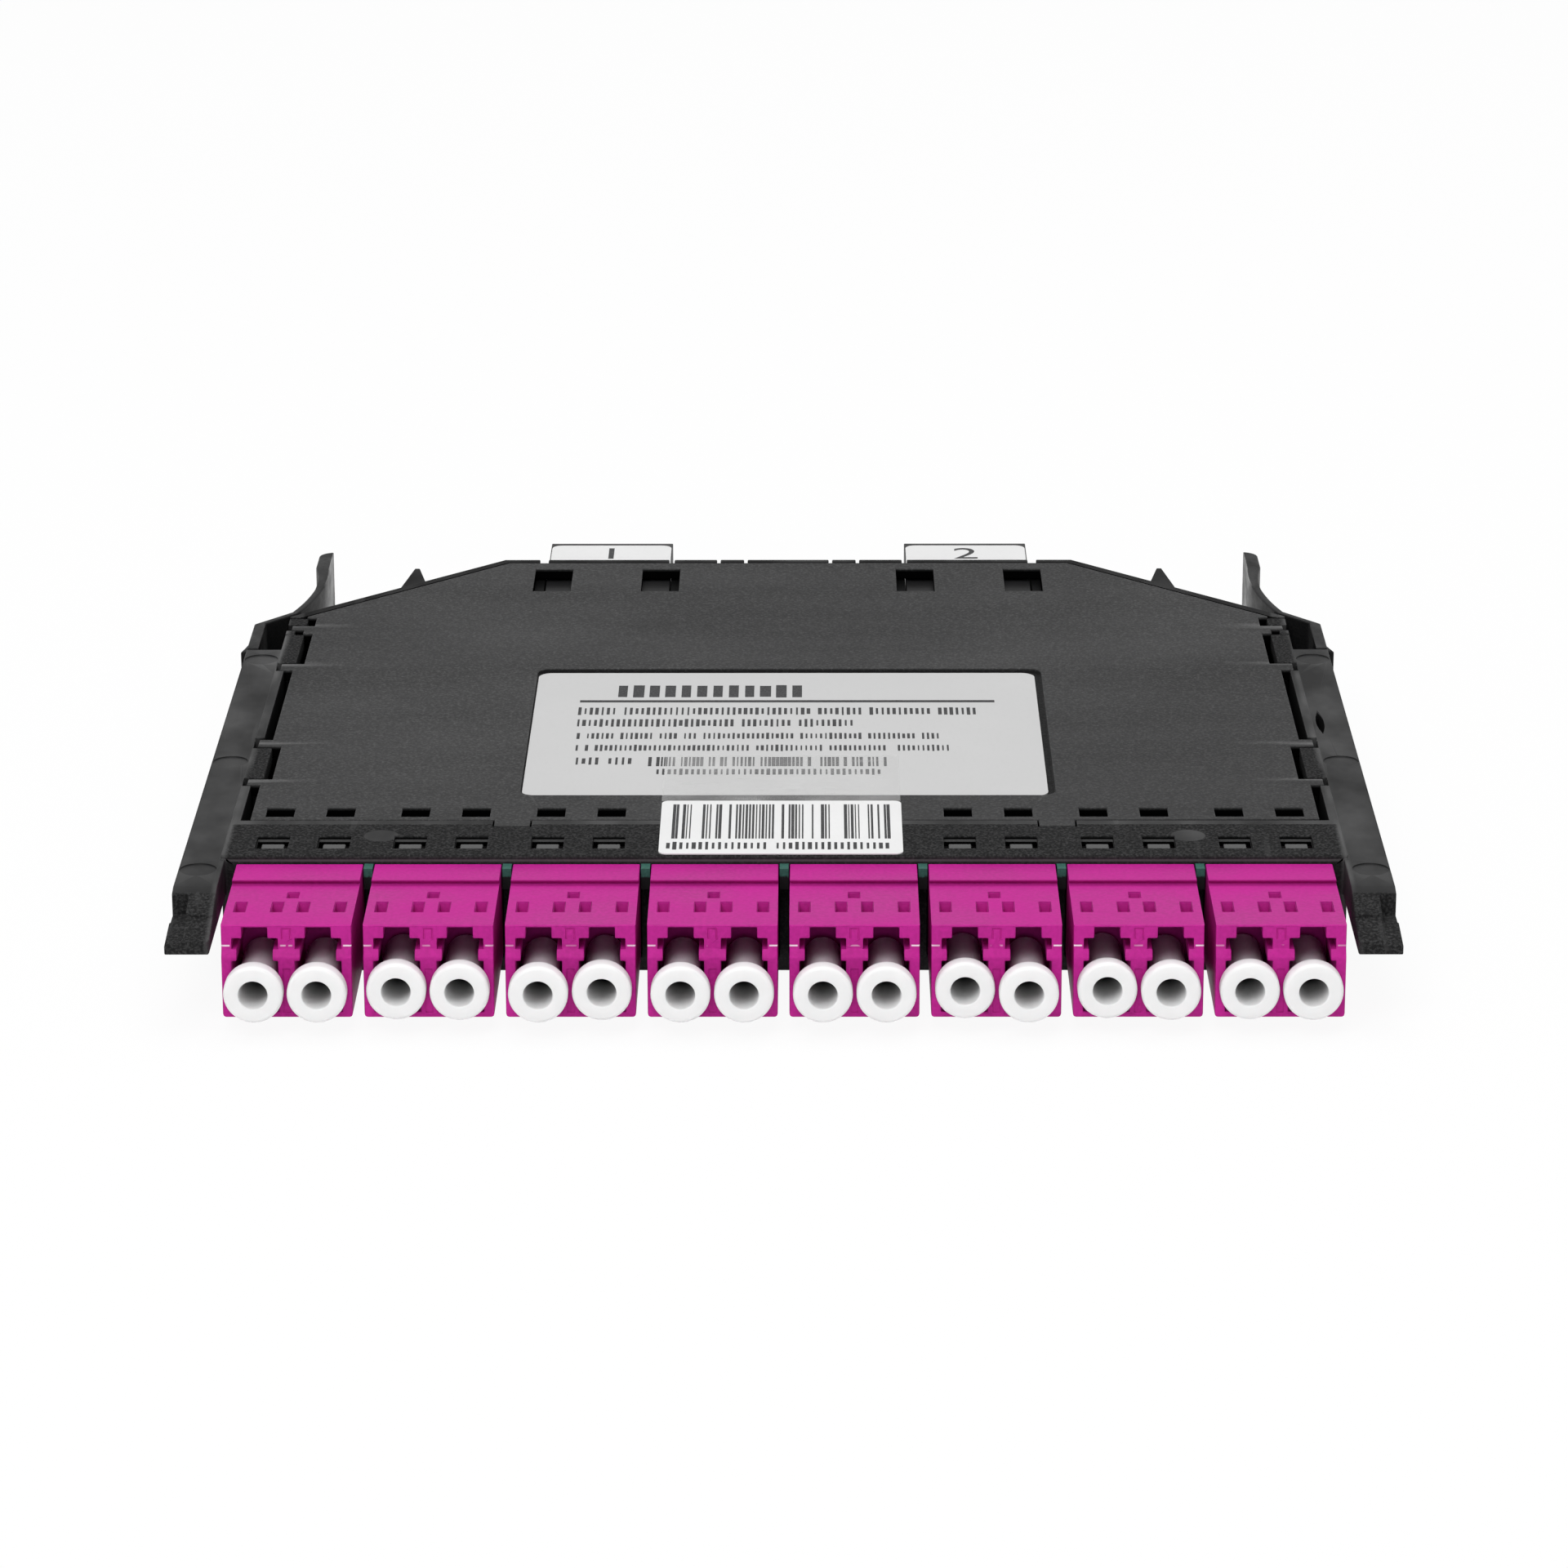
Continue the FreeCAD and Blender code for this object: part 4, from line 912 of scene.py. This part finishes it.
def bar_row_tree():
    """A row of thin bars of seeded widths, some left out, between two ends."""
    tree = bpy.data.node_groups.new("bar_row", "GeometryNodeTree")
    face = tree.interface
    for name, kind in (("Start", "NodeSocketVector"), ("Pitch", "NodeSocketFloat"),
                       ("Count", "NodeSocketInt"), ("Height", "NodeSocketFloat"),
                       ("Thickness", "NodeSocketFloat"), ("Least", "NodeSocketVector"),
                       ("Most", "NodeSocketVector"), ("Kept", "NodeSocketFloat"),
                       ("Seed", "NodeSocketInt"), ("Ink", "NodeSocketMaterial")):
        face.new_socket(name, in_out="INPUT", socket_type=kind)
    face.new_socket("Bars", in_out="OUTPUT", socket_type="NodeSocketGeometry")

    def add(kind, **settings):
        node = tree.nodes.new(kind)
        for name, value in settings.items():
            setattr(node, name, value)
        return node

    given = add("NodeGroupInput")
    out = add("NodeGroupOutput")
    step = add("ShaderNodeCombineXYZ")
    size = add("ShaderNodeCombineXYZ")
    line = add("GeometryNodeMeshLine", mode="OFFSET")
    bar = add("GeometryNodeMeshCube")
    spread = add("FunctionNodeRandomValue", data_type="FLOAT_VECTOR")
    kept = add("FunctionNodeRandomValue", data_type="BOOLEAN")
    place = add("GeometryNodeInstanceOnPoints")
    real = add("GeometryNodeRealizeInstances")
    ink = add("GeometryNodeSetMaterial")
    for source, output, target, entry in (
            (given, "Pitch", step, "X"), (given, "Count", line, "Count"),
            (given, "Start", line, "Start Location"), (step, 0, line, "Offset"),
            (given, "Pitch", size, "X"), (given, "Height", size, "Y"),
            (given, "Thickness", size, "Z"), (size, 0, bar, "Size"),
            (given, "Least", spread, "Min"), (given, "Most", spread, "Max"),
            (given, "Seed", spread, "Seed"), (given, "Kept", kept, "Probability"),
            (given, "Seed", kept, "Seed"), (line, "Mesh", place, "Points"),
            (kept, 3, place, "Selection"), (bar, "Mesh", place, "Instance"),
            (spread, "Value", place, "Scale"), (place, "Instances", real, "Geometry"),
            (real, "Geometry", ink, "Geometry"), (given, "Ink", ink, "Material"),
            (ink, "Geometry", out, "Bars")):
        tree.links.new(source.outputs[output], target.inputs[entry])
    return tree


bar_rows = bar_row_tree()


def print_row(name, left, right, low, high, level, pitch, spread, kept, seed):
    """One row of print as thin bars lying on a label."""
    count = max(1, round((right - left) / pitch))
    pitch = (right - left) / count
    least, most = spread
    holder = put_in_scene(
        bpy.data.objects.new(name + "_blank", bpy.data.meshes.new(name + "_blank")))
    row = holder.modifiers.new("row", "NODES")
    row.node_group = bar_rows
    sockets = {item.name: item.identifier for item in bar_rows.interface.items_tree
               if item.in_out == "INPUT"}
    values = {"Start": (left + pitch / 2, (low + high) / 2, level + PRINT_THICKNESS / 2),
              "Pitch": pitch, "Count": count, "Height": high - low,
              "Thickness": PRINT_THICKNESS, "Least": (*least, 1.0), "Most": (*most, 1.0),
              "Kept": kept, "Seed": seed, "Ink": label_print}
    for socket, value in values.items():
        row[sockets[socket]] = value
    add_piece(name, settled(holder, name), label_print)


# How bars vary: the least and the most of their width and of their height, as shares.
SOLID = ((1.0, 1.0), (1.0, 1.0))
HEADING = ((0.55, 0.85), (0.75, 1.0))
WORDS = ((0.3, 0.7), (0.66, 1.0))
BARS = ((0.35, 1.0), (1.0, 1.0))

# Rows of print: left and right ends from the label's middle, low and high edges from its front
# edge and bar pitch, in millimetres, then how the bars vary, the share kept and the seed.
LABEL_ROWS = (
    ("label_heading", -20.6, 3.8, 33.6, 38.2, 1.7, HEADING, 0.97, 3),
    ("label_rule", -22.6, 22.8, 31.9, 32.7, 50.0, SOLID, 1.0, 1),
    ("label_line_1", -22.8, 20.8, 27.4, 30.2, 0.62, WORDS, 0.93, 4),
    ("label_line_2", -22.8, 7.4, 23.3, 26.0, 0.62, WORDS, 0.93, 5),
    ("label_line_3", -22.6, 16.6, 19.0, 21.2, 0.52, WORDS, 0.93, 6),
    ("label_line_4", -22.6, 17.6, 14.9, 17.1, 0.52, WORDS, 0.93, 7),
    ("label_serial_word", -22.5, -16.2, 10.3, 12.8, 0.7, WORDS, 0.95, 8),
    ("label_serial_bars", -14.6, 10.8, 9.8, 12.9, 0.42, BARS, 0.66, 9),
    ("label_serial_rule", -13.8, 10.2, 6.9, 9.0, 0.62, WORDS, 1.0, 10),
)
STRIP_DEPTH = (strip_high.y - strip_low.y) / MM
STRIP_ROWS = (
    ("strip_bars", -11.2, 11.2, 4.6, STRIP_DEPTH - 1.2, 0.34, BARS, 0.68, 12),
    ("strip_rule", -11.8, 11.8, 1.2, 3.6, 0.66, WORDS, 0.93, 13),
)


def print_rows(rows, low, high, level):
    """Every row of print on one label."""
    middle = (low.x + high.x) / 2
    for name, left, right, near, far, pitch, spread, kept, seed in rows:
        print_row(name, middle + left * MM, middle + right * MM, low.y + near * MM,
                  low.y + far * MM, level, pitch * MM, spread, kept, seed)


def rounded(low, high, radius, steps=6):
    """The outline of a rectangle with round corners."""
    outline = []
    for across, along, start in ((high.x - radius, high.y - radius, 0),
                                 (low.x + radius, high.y - radius, 90),
                                 (low.x + radius, low.y + radius, 180),
                                 (high.x - radius, low.y + radius, 270)):
        outline += rounding(across, along, radius, start, start + 90, steps)
    return outline


def make_sheet(name, node, radius, drop=0.0):
    """A paper label over its CAD sheet, with round corners."""
    low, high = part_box(node)
    shape = bmesh.new()
    prism(shape, rounded(low, high, radius), low.z, high.z - drop)
    bmesh.ops.recalc_face_normals(shape, faces=shape.faces)
    add_piece(name, mesh_of(shape, name), strip_paper, ROOT, [node])


DIGIT_SIZE = 6.5 * MM
DIGIT_BACK = 1.6 * MM


def print_digit(name, digit, node):
    """The port's plain number on its tag."""
    low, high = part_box(node)
    curve = bpy.data.curves.new(name, "FONT")
    curve.body = digit
    curve.size = DIGIT_SIZE
    curve.align_x = "CENTER"
    curve.align_y = "CENTER"
    curve.extrude = PRINT_THICKNESS / 2
    curve.resolution_u = 4
    mesh = settled(put_in_scene(bpy.data.objects.new(name + "_blank", curve)), name)
    mesh.transform(Matrix.Translation(((low.x + high.x) / 2, (low.y + high.y) / 2 + DIGIT_BACK,
                                       high.z - PRINT_THICKNESS / 2)))
    add_piece(name, mesh, label_print)


TAPE_THICKNESS = 0.02 * MM
TAPE_LEFT, TAPE_RIGHT = -12.8 * MM, 12.0 * MM
TAPE_COLUMNS = 25
# Along from the label's front edge: where the tape starts, where it leaves the label, and where
# it reaches the cover. Then its gap to the strip.
TAPE_START, TAPE_LEAVES, TAPE_LANDS = 13.4 * MM, 1.2 * MM, -0.4 * MM
TAPE_GAP = 0.15 * MM


def make_tape():
    """Clear tape from the label's lower rows down over the cover to the barcode strip."""
    front = label_low.y
    on_label = label_high.z + 2 * PRINT_THICKNESS
    on_cover = cover_high.z + CLOSE
    profile = [(front + TAPE_START, on_label), (front + TAPE_LEAVES, on_label),
               (front + TAPE_LANDS, on_cover), (strip_high.y + TAPE_GAP, on_cover)]
    shape = bmesh.new()
    columns = [TAPE_LEFT + (TAPE_RIGHT - TAPE_LEFT) * step / (TAPE_COLUMNS - 1)
               for step in range(TAPE_COLUMNS)]
    layers = [[[shape.verts.new((across, along, up + lift)) for across in columns]
               for along, up in profile] for lift in (0.0, TAPE_THICKNESS)]
    rows, count = len(profile), len(columns)
    for layer in layers:
        for row in range(rows - 1):
            for column in range(count - 1):
                shape.faces.new((layer[row][column], layer[row][column + 1],
                                 layer[row + 1][column + 1], layer[row + 1][column]))
    rim = ([(0, column) for column in range(count)] + [(row, count - 1) for row in range(1, rows)]
           + [(rows - 1, column) for column in range(count - 2, -1, -1)]
           + [(row, 0) for row in range(rows - 2, 0, -1)])
    for here, ahead in zip(rim, rim[1:] + rim[:1]):
        shape.faces.new((layers[0][here[0]][here[1]], layers[0][ahead[0]][ahead[1]],
                         layers[1][ahead[0]][ahead[1]], layers[1][here[0]][here[1]]))
    bmesh.ops.recalc_face_normals(shape, faces=shape.faces)
    add_piece("clear_tape", mesh_of(shape, "clear_tape"), tape_film)


STRIP_CORNER = 0.8 * MM
TAG_CORNER = 1.2 * MM

print_rows(LABEL_ROWS, label_low, label_high, label_high.z)
print_rows(STRIP_ROWS, strip_low, strip_high, strip_high.z - PRINT_THICKNESS)
make_sheet("strip_sheet", "barcode_strip", STRIP_CORNER, drop=PRINT_THICKNESS)
for side, digit in zip(SIDES, "12"):
    make_sheet(f"tag_{side}", f"port_tag_{side}", TAG_CORNER, drop=PRINT_THICKNESS)
    print_digit(f"tag_digit_{side}", digit, f"port_tag_{side}")
make_tape()

# ---------------------------------------------------------------- studio

FLOOR_HALF = 4.0
FLOOR_END = 1.6
SWEEP_BEND = 0.8
SWEEP_RISE = 3.0
SWEEP_GLOW = 0.93


def make_floor():
    """A wide pale sweep under and behind the cassette."""
    profile = [(-FLOOR_HALF, 0.0), (FLOOR_END, 0.0)]
    for angle in range(10, 91, 10):
        turn = math.radians(angle)
        profile.append((FLOOR_END + SWEEP_BEND * math.sin(turn),
                        SWEEP_BEND * (1 - math.cos(turn))))
    profile.append((FLOOR_END + SWEEP_BEND, SWEEP_RISE))
    shape = bmesh.new()
    rows = [[shape.verts.new((side * FLOOR_HALF, along, up)) for along, up in profile]
            for side in (-1, 1)]
    for index in range(len(profile) - 1):
        shape.faces.new((rows[0][index], rows[1][index], rows[1][index + 1], rows[0][index + 1]))
    mesh = mesh_of(shape, "sweep")
    mesh.shade_smooth()
    sweep = put_in_scene(bpy.data.objects.new("sweep", mesh))
    finish = Finish("sweep_paint")
    finish.plain(Specular_IOR_Level=0.0, Roughness=0.9)
    cloud = finish.noise(0.3, detail=1.0)
    finish.colour(finish.blend(cloud, (0.84, 0.84, 0.84), (0.88, 0.88, 0.88)))
    glow = finish.add("ShaderNodeEmission")
    path = finish.add("ShaderNodeLightPath")
    seen = finish.math("MAXIMUM", finish.math(
        "MAXIMUM", path.outputs["Is Camera Ray"], path.outputs["Is Glossy Ray"]),
        path.outputs["Is Transmission Ray"])
    mix = finish.add("ShaderNodeMixShader")
    finish.join(finish.math("MULTIPLY", seen, SWEEP_GLOW), mix.inputs[0])
    finish.join(finish.shader.outputs[0], mix.inputs[1])
    finish.join(glow.outputs[0], mix.inputs[2])
    finish.join(mix.outputs[0], finish.tree.nodes["Material Output"].inputs["Surface"])
    mesh.materials.append(finish.material)


def add_softbox(name, place, aim, width, depth, watts):
    """A rectangular lamp turned to face what it lights."""
    lamp = bpy.data.lights.new(name, "AREA")
    lamp.shape = "RECTANGLE"
    lamp.size = width
    lamp.size_y = depth
    lamp.energy = watts
    box = put_in_scene(bpy.data.objects.new(name, lamp))
    box.location = place
    box.rotation_euler = (Vector(aim) - Vector(place)).to_track_quat("-Z", "Y").to_euler()


def make_world(strength):
    world = bpy.data.worlds.new("studio")
    world.use_nodes = True
    backdrop = world.node_tree.nodes["Background"]
    backdrop.inputs["Color"].default_value = (1, 1, 1, 1)
    backdrop.inputs["Strength"].default_value = strength
    bpy.context.scene.world = world


def add_camera(place, pan, tilt, roll, lens):
    """A camera at a place, turned by three angles in degrees."""
    camera = put_in_scene(bpy.data.objects.new("camera", bpy.data.cameras.new("camera")))
    camera.data.lens = lens
    camera.data.sensor_width = 36.0
    camera.data.clip_end = 20.0
    camera.matrix_world = (Matrix.Translation(place) @ Matrix.Rotation(math.radians(pan), 4, "Z")
                           @ Matrix.Rotation(math.radians(90 - tilt), 4, "X")
                           @ Matrix.Rotation(math.radians(roll), 4, "Z"))
    bpy.context.scene.camera = camera


# Each lamp: place, what it faces, width, depth and watts.
LAMPS = {
    "key": ((-0.25, -0.75, 0.95), (0, 0, 0), 0.6, 0.6, 6.4),
    "overhead": ((0.1, 0.1, 1.2), (0, 0, 0), 0.9, 0.9, 7.4),
    "front_fill": ((0.0, -1.1, 0.24), (0, -0.07, 0.006), 0.5, 0.3, 1.5),
}
WORLD_STRENGTH = 0.35
CAMERA_PLACE = Vector((2.785, -604.3, 205.63)) * MM
CAMERA_PAN, CAMERA_TILT, CAMERA_ROLL = 0.290, 18.606, -0.112
CAMERA_LENS = 132.65

make_floor()
make_world(WORLD_STRENGTH)
for name, settings in LAMPS.items():
    add_softbox(name, *settings)
add_camera(CAMERA_PLACE, CAMERA_PAN, CAMERA_TILT, CAMERA_ROLL, CAMERA_LENS)
bpy.context.scene.view_settings.view_transform = "Standard"
